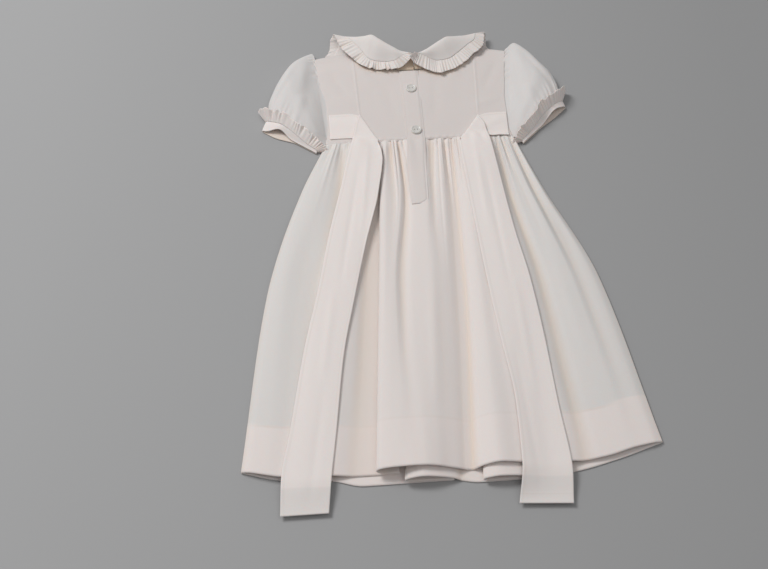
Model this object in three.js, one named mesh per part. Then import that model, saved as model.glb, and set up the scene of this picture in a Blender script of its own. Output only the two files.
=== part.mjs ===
// Christening gown laid flat on its front, seen from the back, in millimetres.
// X runs across the gown, Y from hem to neck and Z up from the table. While it is built, the
// origin is the middle of the back waist; at the end it moves to the centre of the footprint.
import * as THREE from 'three';

// Driving sizes
const CLOTH = 1.0; // wall of one layer of cloth
const SEAM = 0.3; // gap between two pieces that are sewn together
const FIRST = CLOTH / 2; // mid height of the cloth that lies on the table
const SECOND = CLOTH * 1.5 + SEAM; // mid height of cloth lying on that first layer
const WAIST = -3.5; // waist seam
const BUTTON = 11.4; // button diameter
const BUTTON_THICK = 2.2;
const TURN = 1.1; // radius of a sash's sharp fold, to its mid surface
const HEM_FOLD_FROM = 0.8; // share of the front skirt's length where its hem folds start

// Reads rows of numbers as objects with named columns.
function table(columns, rows) {
  return rows.map((row) => Object.fromEntries(columns.map((key, k) => [key, row[k]])));
}

// Smooth curve through values at rising stations; it never overshoots a value.
function curve(stations, values) {
  const last = stations.length - 1;
  const slopes = values.slice(1).map((value, k) => (value - values[k]) / (stations[k + 1] - stations[k]));
  const tangents = stations.map((_, k) => {
    if (k === 0) return slopes[0];
    if (k === last) return slopes[last - 1];
    const product = slopes[k - 1] * slopes[k];
    return product <= 0 ? 0 : (2 * product) / (slopes[k - 1] + slopes[k]);
  });
  return (at) => {
    const t = Math.min(Math.max(at, stations[0]), stations[last]);
    let k = 0;
    while (k < last - 1 && t > stations[k + 1]) k += 1;
    const step = stations[k + 1] - stations[k];
    const f = (t - stations[k]) / step;
    const g = 1 - f;
    return (1 + 2 * f) * g * g * values[k] + f * g * g * step * tangents[k]
      + f * f * (3 - 2 * f) * values[k + 1] - f * f * g * step * tangents[k + 1];
  };
}

// The same through a table's column, with the row number as the station.
const column = (rows, key) => curve(rows.map((_, k) => k), rows.map((row) => row[key]));

const ease = (from, to, at) => THREE.MathUtils.smoothstep(at, from, to);
const mix = THREE.MathUtils.lerp;
const steps = (count) => Array.from({ length: count + 1 }, (_, k) => k / count);
const ivory = () => new THREE.MeshStandardMaterial({ color: 0xe6ddd3, roughness: 0.9, metalness: 0 });

// Cloth wall around a grid of mid points: half the wall goes to each side of it. A ring's columns
// close on themselves.
function clothWall(name, grid, ring = false) {
  const rows = grid.length;
  const cols = grid[0].length;
  const at = (j, i) => grid[Math.min(Math.max(j, 0), rows - 1)][
    ring ? (i + cols) % cols : Math.min(Math.max(i, 0), cols - 1)];
  const positions = [];
  for (const side of [0.5, -0.5]) {
    for (let j = 0; j < rows; j += 1) {
      for (let i = 0; i < cols; i += 1) {
        const across = at(j, i + 1).clone().sub(at(j, i - 1));
        const along = at(j + 1, i).clone().sub(at(j - 1, i));
        const normal = across.cross(along).normalize();
        const p = at(j, i).clone().addScaledVector(normal, side * CLOTH);
        positions.push(p.x, p.y, p.z);
      }
    }
  }
  const half = rows * cols;
  const id = (side, j, i) => side * half + j * cols + (i % cols);
  const faces = [];
  const quad = (a, b, c, d) => faces.push(a, b, c, a, c, d);
  const spans = ring ? cols : cols - 1;
  for (let j = 0; j < rows - 1; j += 1) {
    for (let i = 0; i < spans; i += 1) {
      quad(id(0, j, i), id(0, j, i + 1), id(0, j + 1, i + 1), id(0, j + 1, i));
      quad(id(1, j, i), id(1, j + 1, i), id(1, j + 1, i + 1), id(1, j, i + 1));
    }
    if (!ring) {
      quad(id(0, j, 0), id(0, j + 1, 0), id(1, j + 1, 0), id(1, j, 0));
      quad(id(0, j, cols - 1), id(1, j, cols - 1), id(1, j + 1, cols - 1), id(0, j + 1, cols - 1));
    }
  }
  for (let i = 0; i < spans; i += 1) {
    quad(id(0, 0, i), id(1, 0, i), id(1, 0, i + 1), id(0, 0, i + 1));
    quad(id(0, rows - 1, i), id(0, rows - 1, i + 1), id(1, rows - 1, i + 1), id(1, rows - 1, i));
  }
  return solid(name, positions, faces, ivory());
}

// Named mesh with its faces turned outwards.
function solid(name, positions, faces, material) {
  const p = (k) => new THREE.Vector3().fromArray(positions, 3 * faces[k]);
  let volume = 0;
  for (let k = 0; k < faces.length; k += 3) volume += p(k).dot(p(k + 1).cross(p(k + 2)));
  const turned = volume < 0 ? faces.slice().reverse() : faces;
  const geometry = new THREE.BufferGeometry();
  geometry.setAttribute('position', new THREE.Float32BufferAttribute(positions, 3));
  geometry.setIndex(turned);
  geometry.computeVertexNormals();
  const mesh = new THREE.Mesh(geometry, material);
  mesh.name = name;
  return mesh;
}

// Height that clears the given pieces by a seam's gap: their highest point within reach of a
// place, evened out over the same reach.
function coverOf(pieces, reach) {
  const cell = 2;
  const west = -230;
  const south = -450;
  const nx = 240;
  const ny = 330;
  const tops = new Float32Array(nx * ny);
  for (const piece of pieces) {
    const places = piece.geometry.attributes.position;
    const index = piece.geometry.index.array;
    const [a, b, c] = [new THREE.Vector3(), new THREE.Vector3(), new THREE.Vector3()];
    for (let k = 0; k < index.length; k += 3) {
      [a, b, c].forEach((corner, n) => corner.fromBufferAttribute(places, index[k + n]));
      const area = (b.x - a.x) * (c.y - a.y) - (c.x - a.x) * (b.y - a.y);
      if (Math.abs(area) < 1e-6) continue;
      const low = (key, from) => Math.ceil((Math.min(a[key], b[key], c[key]) - from) / cell);
      const high = (key, from) => Math.floor((Math.max(a[key], b[key], c[key]) - from) / cell);
      for (let j = low('y', south); j <= high('y', south); j += 1) {
        for (let i = low('x', west); i <= high('x', west); i += 1) {
          const x = west + i * cell;
          const y = south + j * cell;
          const u = ((x - a.x) * (c.y - a.y) - (c.x - a.x) * (y - a.y)) / area;
          const v = ((b.x - a.x) * (y - a.y) - (x - a.x) * (b.y - a.y)) / area;
          if (u < 0 || v < 0 || u + v > 1) continue;
          const z = a.z + u * (b.z - a.z) + v * (c.z - a.z);
          tops[j * nx + i] = Math.max(tops[j * nx + i], z);
        }
      }
    }
  }
  const disc = [];
  const n = Math.ceil(reach / cell);
  for (let j = -n; j <= n; j += 1) {
    for (let i = -n; i <= n; i += 1) if (i * i + j * j <= n * n) disc.push(j * nx + i);
  }
  const inside = (k) => Math.min(Math.max(k, 0), nx * ny - 1);
  const raised = tops.map((_, k) => Math.max(...disc.map((d) => tops[inside(k + d)])));
  const even = raised.map((_, k) => disc.reduce((sum, d) => sum + raised[inside(k + d)], 0) / disc.length);
  return (x, y) => {
    const gx = (x - west) / cell;
    const gy = (y - south) / cell;
    const [i, j] = [Math.floor(gx), Math.floor(gy)];
    const [fx, fy] = [gx - i, gy - j];
    const z = (jj, ii) => even[jj * nx + ii];
    return SEAM + mix(mix(z(j, i), z(j, i + 1), fx), mix(z(j + 1, i), z(j + 1, i + 1), fx), fy);
  };
}

// Back skirt: each row is a crease or a crest that runs from the waist to the hem, left to right,
// with its place across and its height at the waist, below the gathers, halfway and at the hem.
// Rows that turn back over their neighbours make the pressed pleat left of the middle.
const SKIRT_STATIONS = [0, 0.16, 0.49, 1];
const skirtFolds = table(
  ['line', 'xWaist', 'xHigh', 'xMiddle', 'xHem', 'zWaist', 'zHigh', 'zMiddle', 'zHem'],
  [
    ['left side seam', -97, -124, -161.5, -188, SECOND, SECOND, SECOND, SECOND],
    ['left side roll', -93, -118, -154, -179, 4.5, 6, 5.5, 5],
    ['outer hollow', -87, -107, -143, -164, 2.5, 3, 4, 4.5],
    ['side crest', -82.5, -97, -129, -152, 6.5, 9, 9, 7],
    ['hollow beside the sash', -78, -87, -118, -140, 2.5, 2.5, 8, 6.5],
    ['left crest under the sash', -70, -77, -104, -128, 7, 9.5, 9.5, 7.5],
    ['right crest under the sash', -55, -58, -85, -108, 6, 9, 8.5, 6.5],
    ['foot of the pleat', -44, -49, -64, -84, 2.5, 3.5, 2.2, 2],
    ['under layer', -40, -43, -50, -62, 2.4, 1.9, 1.8, 1.8],
    ['inner turn, below', -38.6, -36.5, -38, -47.2, 2.6, 1.85, 1.85, 1.85],
    ['inner turn', -38, -35.5, -37, -46.2, 3, 2.8, 2.8, 2.8],
    ['inner turn, above', -37.4, -36.5, -38, -47.2, 3.6, 3.75, 3.75, 3.75],
    ['middle layer', -36.8, -39, -45, -56, 4.2, 3.9, 3.9, 3.9],
    ['pleat edge, below', -36.2, -41.8, -50.5, -64.5, 4.6, 4.8, 5.4, 6],
    ['pleat edge', -35.6, -43, -52.5, -67, 5, 6.4, 8, 9.5],
    ['pleat edge, above', -35, -41.8, -50.5, -64.5, 5.4, 8, 11, 13],
    ['pleat crest', -33.5, -38, -46, -59, 6.2, 9, 12.5, 15],
    ['first gather', -29.5, -30, -42, -51, 2.5, 7, 12.4, 16.3],
    ['first gather crest', -25, -24, -37, -42, 6.5, 8, 12, 17],
    ['gather beside the placket', -20, -17, -30, -33, 2.5, 4, 9.5, 17.5],
    ['placket crest', -14, -10, -20, -24, 6, 7.5, 11, 17.3],
    ['middle crest', 0, 3, -6, -12, 6.5, 8.5, 11.5, 14.5],
    ['gather right of the placket', 17, 11.5, 7, -3, 2.5, 5.5, 9.5, 10.5],
    ['small crest', 22, 20, 16, 6, 6, 7.5, 7, 6.8],
    ['small gather', 27, 27, 24, 13, 3, 4.5, 3.2, 3.4],
    ['deep hollow', 34.5, 33.5, 31, 19, 2.2, SECOND, SECOND, SECOND],
    ['wall of the deep hollow', 39, 39, 37, 29, 5.5, 7.5, 8.5, 9.8],
    ['right crest', 45, 46, 47, 44, 7, 10, 12, 15.5],
    ['right crest, far side', 56, 58, 59, 61, 7.5, 10.5, 11.5, 12.3],
    ['left crest under the right sash', 68, 72, 79, 82, 7, 9.5, 9.5, 7.5],
    ['right crest under the right sash', 76.5, 80, 95, 104, 6.5, 8, 8, 7.5],
    ['hollow beside the right sash', 81.5, 87, 107, 122, 2.4, 2.4, 3, 3.5],
    ['side gather crest', 85.5, 94, 117, 137, 6, 8, 8, 5],
    ['side gather', 89.5, 99, 124, 146, 3, 6, 7.5, 5.2],
    ['right side crest', 93, 104, 130, 155, 6, 8, 8, 6],
    ['right outer hollow', 97, 112, 143, 170, 2.5, 3, 4.5, 5],
    ['right side roll', 99.5, 117, 156, 185, 4, 5.5, 5, 4.5],
    ['right side seam', 101.5, 121, 164, 194, SECOND, SECOND, SECOND, SECOND],
  ],
);
const skirtTracks = skirtFolds.map((row) => ({
  x: curve(SKIRT_STATIONS, [row.xWaist, row.xHigh, row.xMiddle, row.xHem]),
  z: curve(SKIRT_STATIONS, [row.zWaist, row.zHigh, row.zMiddle, row.zHem]),
}));
const backHem = curve([-188, -150, -100, 0, 100, 140, 170, 194], [-381, -389.5, -391.5, -391.5, -391, -387, -379, -374.3]);
const frontHem = curve(
  [-188, -150, -108, -79, 0, 25, 61, 108, 150, 194],
  [-381, -391, -394, -401, -400, -403.5, -403, -399, -389, -374.3],
);

// Height of the waist seam: the side seams lie down, the middle is carried by the gathers.
const waistHeight = (x) => mix(SECOND, 5, 1 - ((x - 2) / 100) ** 6);

function backSkirt() {
  const downs = [0, 0.015, 0.035, 0.07, 0.12, 0.18, 0.27, 0.38, 0.5, 0.62, 0.74, 0.86, 0.94, 1];
  const first = 7; // rows from here to there bend sharply, so they get more columns
  const last = 17;
  const acrosses = [];
  for (let k = 0; k < skirtFolds.length - 1; k += 1) {
    const parts = k >= first && k < last ? 1 : 2;
    for (let n = 0; n < parts; n += 1) acrosses.push(k + n / parts);
  }
  acrosses.push(skirtFolds.length - 1);
  const grid = downs.map((v) => {
    const xs = curve(skirtTracks.map((_, k) => k), skirtTracks.map((track) => track.x(v)));
    const zs = curve(skirtTracks.map((_, k) => k), skirtTracks.map((track) => track.z(v)));
    const gathered = 0.3 + 0.7 * ease(0, 0.035, v);
    return acrosses.map((s) => {
      const x = xs(s);
      return new THREE.Vector3(x, mix(WAIST, backHem(x), v), mix(waistHeight(x), zs(s), gathered));
    });
  });
  return clothWall('back_skirt', grid);
}

// Front skirt: flat on the table, with two overlapping folds near its hem. A row is a crease or
// crest with its place across above the folds and at the hem, and its height where the fold
// begins and at the hem.
const hemFolds = table(
  ['line', 'xAbove', 'xHem', 'zBegin', 'zHem'],
  [
    ['left', -120, -120, FIRST, FIRST],
    ['left of the first fold', -75, -78, FIRST, FIRST],
    ['under layer', -40, -50, FIRST, FIRST],
    ['first inner turn, below', -34.4, 0.8, FIRST, FIRST],
    ['first inner turn', -33.2, 1.8, 1.5, 1.45],
    ['first inner turn, above', -32.4, 0.8, 2.6, 2.4],
    ['middle layer', -31.2, -22, 3.8, 2.5],
    ['first fold edge, below', -28.6, -39.5, 5, 4],
    ['first fold edge', -27, -42, 7, 6.5],
    ['first fold edge, above', -25, -39.5, 9, 9],
    ['first crest', -17, -26, 11.5, 12.3],
    ['first crest, far side', -6, -9, 9, 8.6],
    ['first fold, over its turn', 3, 3, 4, 4],
    ['first fold, foot', 10, 10, FIRST, FIRST],
    ['between the folds', 18, 22, FIRST, FIRST],
    ['under layer of the second', 24, 44, FIRST, FIRST],
    ['second inner turn, below', 28, 66.8, FIRST, FIRST],
    ['second inner turn', 29.4, 67.8, 1.5, 1.45],
    ['second inner turn, above', 30.1, 66.8, 2.6, 2.4],
    ['second middle layer', 31.2, 46, 3.7, 2.5],
    ['second fold edge, below', 34, 30, 4.7, 3.6],
    ['second fold edge', 36, 28, 6.2, 5.6],
    ['second fold edge, above', 38.5, 30, 8, 7.6],
    ['second crest', 46, 43, 10.5, 11],
    ['second crest, far side', 56, 60, 8.6, 8.6],
    ['second fold, over its turn', 66, 72, 4.4, 4.4],
    ['second fold, foot', 74, 84, FIRST, FIRST],
    ['right', 130, 130, FIRST, FIRST],
  ],
);

function frontSkirt() {
  const downs = [0, 0.3, 0.6, HEM_FOLD_FROM, 0.83, 0.86, 0.885, 0.91, 0.93, 0.95, 0.97, 0.985, 1];
  const left = skirtTracks[0].x;
  const right = skirtTracks[skirtTracks.length - 1].x;
  const share = (x, v) => (x - left(v)) / (right(v) - left(v));
  const grid = downs.map((v) => {
    const risen = ease(HEM_FOLD_FROM, 0.88, v);
    const folded = ease(0.865, 0.995, v);
    const places = hemFolds.map((row) => {
      const plain = mix(left(v), right(v), share(row.xAbove, HEM_FOLD_FROM));
      return { x: mix(plain, row.xHem, folded), z: mix(FIRST, mix(row.zBegin, row.zHem, folded), risen) };
    });
    places.unshift({ x: left(v), z: FIRST });
    places.push({ x: right(v), z: FIRST });
    const xs = column(places, 'x');
    const zs = column(places, 'z');
    return steps(places.length - 1).map((t) => {
      const s = t * (places.length - 1);
      return new THREE.Vector3(xs(s), mix(WAIST, frontHem(xs(s)), v), zs(s));
    });
  });
  return clothWall('front_skirt', grid);
}

// Bodice outline: each side runs from the waist up the armhole to the shoulder tip. A shoulder
// seam goes from the tip to the neckline.
const SHOULDER_NECK = 47.5; // neck end of a shoulder seam, from the middle
const SHOULDER_Y = 129.3;
const TIP_Y = 119;
const sides = {
  left: {
    edge: curve([-3.5, 4, 12, 50, 67, 82, 102, TIP_Y], [-96.5, -95.6, -93.4, -93, -96.6, -99.6, -102.3, -103.5]),
    sign: -1,
  },
  right: {
    edge: curve([-3.5, 4, 12, 50, 67, 82, 102, TIP_Y], [100.5, 99, 97.8, 97.6, 99.6, 101, 103.4, 106]),
    sign: 1,
  },
};
const backNeck = (x) => 93 + (SHOULDER_Y - 93) * (Math.max(0, Math.abs(x) - 7) / (SHOULDER_NECK - 7)) ** 1.6;
const frontNeck = (x) => 99.5 + (SHOULDER_Y - 99.5) * (Math.abs(x) / SHOULDER_NECK) ** 2.6;
const SHOULDER_SHARE = 0.55; // share of a bodice's columns that end at its shoulder seam
const TUCK_WIDTH = 3; // sewn tuck from the shoulder to the sash
const TUCK_RISE = 0.8;

// Place on a bodice layer: u goes from the side to the middle line, v from the waist to the top.
function bodicePlace(side, inner, neck, u, v) {
  const bottom = WAIST + SEAM;
  const tip = side.edge(TIP_Y);
  const waist = side.edge(bottom);
  const neckX = side.sign * SHOULDER_NECK;
  const onShoulder = u / SHOULDER_SHARE;
  const onNeck = (u - SHOULDER_SHARE) / (1 - SHOULDER_SHARE);
  const topX = onNeck < 0 ? mix(tip, neckX, onShoulder) : mix(neckX, inner, onNeck);
  const topY = onNeck < 0 ? mix(TIP_Y, SHOULDER_Y, onShoulder ** 0.8) : neck(topX);
  const lean = v ** 1.5;
  const bow = side.edge(mix(bottom, TIP_Y, v)) - mix(waist, tip, lean);
  return [mix(mix(waist, inner, u), topX, lean) + bow * (1 - u) ** 3, mix(bottom, topY, v)];
}

function frontBodice() {
  const grid = [0, 0.12, 0.25, 0.36, 0.5, 0.65, 0.8, 0.9, 1].map((v) => {
    const half = (side) => [0, 0.15, 0.35, 0.55, 0.62, 0.7, 0.78, 0.86, 0.93, 1].map((u) => {
      const [x, y] = bodicePlace(side, 0, frontNeck, u, v);
      return new THREE.Vector3(x, y, mix(FIRST, 2.4, ease(26, 42, y)));
    });
    return [...half(sides.left), ...half(sides.right).reverse().slice(1)];
  });
  return clothWall('front_bodice', grid);
}

// Mid height of the back bodice over the table.
function bodiceHeight(u, v, y) {
  const edge = curve([0, 12, 32, 95, 125], [SECOND, 3, 5.4, 5.6, 3.9])(y);
  const inner = curve([0, 0.3, 0.7, 0.9, 1], [5, 6.4, 7.6, 7.4, 6.8])(v);
  const shoulder = ease(0.8, 1, v) * (1 - ease(0.5, 0.75, u));
  return mix(mix(edge, inner, 1 - (1 - u) ** 2.5), 3.9, shoulder);
}

function backBodice(name, side, inner, tuckWaistX, tuckTopX, lift) {
  const us = [0, 0.08, 0.18, 0.28, 0.34, 0.37, 0.4, 0.43, 0.47, 0.55, 0.62, 0.7, 0.78, 0.84, 0.89, 0.94, 1];
  const grid = [0, 0.06, 0.14, 0.26, 0.4, 0.55, 0.7, 0.82, 0.92, 1].map((v) => us.map((u) => {
    const [x, y] = bodicePlace(side, inner, backNeck, u, v);
    const fromTuck = Math.abs(x - mix(tuckWaistX, tuckTopX, v));
    const tuck = TUCK_RISE * (1 - ease(0, TUCK_WIDTH, fromTuck)) * ease(0.2, 0.35, v) * (1 - ease(0.85, 0.97, v));
    return new THREE.Vector3(x, y, bodiceHeight(u, v, y) + tuck + lift * ease(0.6, 0.95, u));
  }));
  return clothWall(name, grid);
}

// Sleeve: rings from the armhole to the cuff seam. Each row has the ring's shoulder end, its
// underarm end, the height of its top over its floor, and the height of that floor.
const sleeveColumns = ['outX', 'outY', 'inX', 'inY', 'puff', 'floor'];
const leftSleeve = table(sleeveColumns, [
  [-104.6, 119, -94.4, 12, 5.2, FIRST],
  [-108.5, 124, -98.2, 6.5, 11.5, FIRST],
  [-115, 124.5, -99.8, 3, 17, FIRST],
  [-127, 115.5, -100.8, 0.5, 20, FIRST],
  [-139, 96.5, -101.6, -1.5, 21, 0.7],
  [-149.5, 73, -102.2, -3, 18, 1.5],
  [-155.3, 52, -102.7, -4.3, 13.5, 2.3],
  [-155.5, 37, -103, -5.2, 9.5, 2.3],
]);
const rightSleeve = table(sleeveColumns, [
  [107.2, 119, 99, 12, 5.2, FIRST],
  [110.5, 126, 101.8, 5.5, 11.5, FIRST],
  [117, 131, 103.2, 2, 17, FIRST],
  [129, 118.5, 104.2, 0, 20, FIRST],
  [141, 97.5, 104.8, -1.2, 21, 0.7],
  [151.5, 80, 105.3, -2.4, 18, 1.5],
  [156.5, 60, 105.8, -3.6, 13.5, 2.3],
  [157.5, 45, 106.2, -4.6, 9.5, 2.3],
]);
// Cuff bindings: from the cuff seam to the open mouth.
const leftCuff = table(sleeveColumns, [
  [-155.8, 36.2, -103.4, -5.8, 9.3, 2.3],
  [-158, 31, -105.4, -9.5, 9.5, 1.6],
  [-159, 26.5, -107, -12.6, 10.5, FIRST],
]);
const rightCuff = table(sleeveColumns, [
  [157.9, 44.2, 106.7, -5.2, 9.3, 2.3],
  [159, 39.5, 109, -9.2, 8.5, 1.6],
  [159.6, 35.5, 111, -12.6, 7, FIRST],
]);
const RING_TOP = [0, 20, 38, 54, 68, 80, 90, 100, 112, 126, 142, 160, 180];
const RING_FLOOR = [210, 235, 270, 305, 330];
const END_RISE = 0.9; // the two ends of a ring are small rounded folds
const CAP_GATHERS = 6; // waves where the sleeve is eased into the armhole and the cuff
const GATHER_RISE = 0.9;

// Ring point at a turn in degrees: 0 is the shoulder end, 90 the top, 180 the underarm and 270
// the floor. It can be grown outwards, away from all but the table.
function ringPoint(ring, turn, grow = 0) {
  const angle = THREE.MathUtils.degToRad(turn);
  const reach = new THREE.Vector2(ring.outX - ring.inX, ring.outY - ring.inY).multiplyScalar(0.5);
  const along = Math.cos(angle) * (1 + grow / reach.length());
  const up = Math.sin(angle);
  const top = ring.floor + END_RISE + (ring.puff - END_RISE + grow) * Math.max(0, up) ** 0.75;
  const below = ring.floor - Math.min(grow, ring.floor - FIRST - 0.1);
  return new THREE.Vector3(
    (ring.outX + ring.inX) / 2 + reach.x * along,
    (ring.outY + ring.inY) / 2 + reach.y * along,
    up < -0.01 ? below : top,
  );
}

// Ring anywhere between the table's rows.
function ringAt(rows, at) {
  return Object.fromEntries(sleeveColumns.map((key) => [key, column(rows, key)(at)]));
}

function sleeve(name, rows, side) {
  const grid = [0, 0.6, 1.3, 2.2, 3.3, 4.4, 5.4, 6.2, 7].map((at) => {
    const ring = ringAt(rows, at);
    const gathers = GATHER_RISE * (ease(0, 0.6, at) * (1 - ease(0.6, 2.2, at)) + ease(4.4, 5.4, at) * (1 - ease(5.4, 6.2, at)));
    return [...RING_TOP, ...RING_FLOOR].map((turn) => {
      const p = ringPoint(ring, turn);
      const chord = mix(ring.outX, ring.inX, (ring.outY - p.y) / (ring.outY - ring.inY));
      const armhole = side.edge(p.y) + side.sign * (SEAM + CLOTH / 2 + 0.5);
      const angle = THREE.MathUtils.degToRad(turn);
      p.x += (armhole - chord) * (1 - ease(0, 1, at));
      p.z += gathers * Math.max(0, Math.sin(angle)) * Math.cos(2 * CAP_GATHERS * angle);
      return p;
    });
  });
  return clothWall(name, grid, true);
}

function cuff(name, rows) {
  const grid = [0, 1, 2].map((at) => [...RING_TOP, ...RING_FLOOR].map((turn) => ringPoint(ringAt(rows, at), turn)));
  return clothWall(name, grid, true);
}

// Ruffle sewn round the cuff seam: it stands away on top and at the shoulder end, leans back
// over the sleeve, and is pressed flat below and beside the skirt.
const CUFF_RUFFLE_WAVES = 15;
const CUFF_RUFFLE_WAVE = 1.5;
const CUFF_RUFFLE_STAND = 8;
const CUFF_RUFFLE_BACK = 0.5; // share of the sleeve's last ring gap that it covers
function cuffRuffle(name, rows) {
  const last = rows.length - 1;
  const turns = [...steps(CUFF_RUFFLE_WAVES * 4).map((t) => 180 * t), 188, 225, 270, 315, 352];
  const grid = [0, 1].map((out) => turns.map((turn) => {
    const angle = THREE.MathUtils.degToRad(turn);
    const standing = turn > 180 ? 0 : 1 - ease(0.2, 1, -Math.cos(angle));
    const wave = CUFF_RUFFLE_WAVE * Math.cos(2 * angle * CUFF_RUFFLE_WAVES) * Math.sqrt(Math.max(0, Math.sin(angle)));
    const grow = CLOTH + SEAM + 0.3 + out * mix(2.2, CUFF_RUFFLE_STAND + wave, standing);
    const back = turn > 180 ? out : out * standing;
    return ringPoint(ringAt(rows, last - CUFF_RUFFLE_BACK * back), turn, grow);
  }));
  return clothWall(name, grid, true);
}

// Collar halves: each row is a section from the neck seam over the roll to the collar's edge,
// and on to the rim of the ruffle. They go from the centre back, round the shoulder and under
// the front bodice to the centre front. The loop is the roll's radius: it turns over on the
// back and under on the front. Where neckY is null, the seam follows the neckline.
const collarColumns = ['neckX', 'neckY', 'neckZ', 'rollX', 'rollY', 'rollZ',
  'edgeX', 'edgeY', 'edgeZ', 'rimX', 'rimY', 'rimZ', 'loop'];
const leftCollar = table(collarColumns, [
  [-1, null, 7.2, -1.5, 111, 17.5, -2.4, 107.6, 20.8, 3.5, 106, 19.8, 1],
  [-10, null, 7.2, -9, 115.5, 20.5, -8, 107.1, 18.3, -1.5, 101.4, 16.5, 1.6],
  [-17, null, 7.2, -17, 120.5, 23, -17, 103.4, 14.5, -13.5, 94.7, 12, 2],
  [-25, null, 7.1, -25, 126.5, 25, -27, 104.5, 11.6, -25.5, 94.2, 11.2, 2],
  [-33, null, 7, -33, 133, 26, -37.5, 106.5, 11.4, -38.5, 96, 11.2, 2],
  [-40, null, 6.9, -40, 139.5, 25.5, -45.5, 111.5, 11.6, -51, 101.5, 11, 2],
  [-45, 127.5, 6.4, -47, 141, 22, -52.5, 123, 13, -63, 116, 10.5, 1.8],
  [-47, 130.8, 6.2, -52, 142, 18.5, -61, 135, 14, -73.5, 131, 11, 1.2],
  [-48, 132.2, 5.5, -58, 144, 14, -69, 144.4, 12.1, -80.5, 148.5, 11.9, 0],
  [-49.2, 131.2, 4, -60, 143.5, 8.5, -75, 144, 7, -84.5, 146, 5.5, 0],
  [-49, 132.4, 2.5, -56, 140.4, 2.4, -77, 137, 1.4, -87, 134, 0.9, -0.3],
  [-45, null, 2.4, -42, 131.5, 1.45, -84, 118, FIRST, -95, 115, FIRST, -0.95],
  [-35, null, 2.4, -33.7, 120, 1.45, -66, 84, FIRST, -74, 76, FIRST, -0.95],
  [-19, null, 2.4, -18, 108.5, 1.45, -36, 63, FIRST, -40, 52.5, FIRST, -0.95],
  [-1.2, null, 2.4, -1.2, 105, 1.45, -1.2, 60, FIRST, -1.2, 49, FIRST, -0.95],
]);
const rightCollar = table(collarColumns, [
  [4.5, null, 8.5, 4, 109.6, 20, 5, 105.4, 23.4, -0.5, 102, 22.4, 1],
  [12, null, 8.4, 10, 113, 20.5, 9.5, 107.6, 19.4, 4.5, 98.8, 15.6, 1.4],
  [18, null, 8, 17.5, 116.5, 22, 19, 104.7, 16, 17, 91.5, 12.4, 1.8],
  [26, null, 7.5, 26, 122.5, 22.5, 30, 102.3, 12.2, 30, 86, 11.8, 2],
  [34, null, 7.1, 34.5, 128.5, 23, 42, 104.5, 12, 45, 90.3, 11.6, 2],
  [40.5, null, 6.9, 42, 134.5, 22, 53, 113, 12, 60, 101.5, 11.2, 2],
  [45, 127.5, 6.4, 50, 136.5, 20, 63, 122.5, 12.5, 71, 113.5, 10.8, 1.6],
  [47, 130.8, 6.2, 57, 139, 17.5, 73, 131.5, 13, 82, 125, 10.8, 0.6],
  [48, 132.2, 5.5, 61, 141, 13.5, 75.5, 141, 11.5, 84.5, 143, 10, 0],
  [52, 131, 4, 62, 140.5, 8.5, 77, 141, 7, 86.5, 142, 5.5, 0],
  [49, 131.4, 2.2, 59.3, 139.8, 2.4, 78, 135.5, 1.4, 86.5, 132, 0.9, -0.9],
  [45, null, 2.4, 42, 131.5, 1.45, 84, 118, FIRST, 95, 115, FIRST, -0.95],
  [35, null, 2.4, 33, 120, 1.45, 66, 84, FIRST, 74, 76, FIRST, -0.95],
  [19, null, 2.4, 18, 108.5, 1.45, 36, 63, FIRST, 40, 52.5, FIRST, -0.95],
  [1.2, null, 2.4, 1.2, 105, 1.45, 1.2, 60, FIRST, 1.2, 49, FIRST, -0.95],
]);
const COLLAR_WAVES = 16; // ruffle waves from the centre back to the shoulder
const COLLAR_WAVE = 1.4;
const COLLAR_SHOULDER = 7.5; // the row at which the ruffle goes over the shoulder
const NECK_GAP = SEAM + 0.6;
const COLLAR_TURN = [9.3, 9.6, 9.9, 10.2, 10.5, 10.8, 11.1]; // rows that turn under at the shoulder
const COLLAR_FRONT = [11.5, 12, 12.5, 13, 13.5, 14]; // rows that lie flat under the front bodice
const COLLAR_ACROSS = [0, 0.35, 0.65, 0.85, 1, 1.15, 1.35, 1.65, 2];

// Smooth rails of a collar: each takes a row number and gives a point.
function collarRails(rows) {
  const middle = (rows.length - 1) / 2;
  const filled = rows.map((row, k) => {
    if (row.neckY !== null) return row;
    const neck = k < middle ? backNeck : frontNeck;
    const slope = neck(row.neckX + 0.5) - neck(row.neckX - 0.5);
    const off = new THREE.Vector2(-slope, 1).setLength(NECK_GAP);
    return { ...row, neckX: row.neckX + off.x, neckY: neck(row.neckX) + off.y };
  });
  const rail = (key) => {
    const [x, y, z] = ['X', 'Y', 'Z'].map((axis) => column(filled, key + axis));
    return (s) => new THREE.Vector3(x(s), y(s), z(s));
  };
  return { neck: rail('neck'), roll: rail('roll'), edge: rail('edge'), rim: rail('rim'), loop: column(filled, 'loop') };
}

// Collar section: neck seam, stand, roll, fall and edge, evened out by a smooth curve.
function collarSection(rails, s) {
  const [neck, roll, edge] = [rails.neck(s), rails.roll(s), rails.edge(s)];
  const rise = roll.clone().sub(neck).normalize();
  const fall = edge.clone().sub(roll).normalize();
  const loop = rails.loop(s);
  const open = new THREE.Vector3(0, 0, 1).addScaledVector(rise, -rise.z).setLength(1);
  const back = Math.max(Math.abs(loop), 1.5);
  const stand = roll.clone().addScaledVector(rise, -back).addScaledVector(open, -loop);
  const over = roll.clone().addScaledVector(fall, back).addScaledVector(open, loop);
  const points = [neck, stand, roll, over, edge];
  const [x, y, z] = ['x', 'y', 'z'].map((axis) => curve([0, 0.85, 1, 1.15, 2], points.map((p) => p[axis])));
  return (across) => new THREE.Vector3(x(across), y(across), z(across));
}

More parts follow.
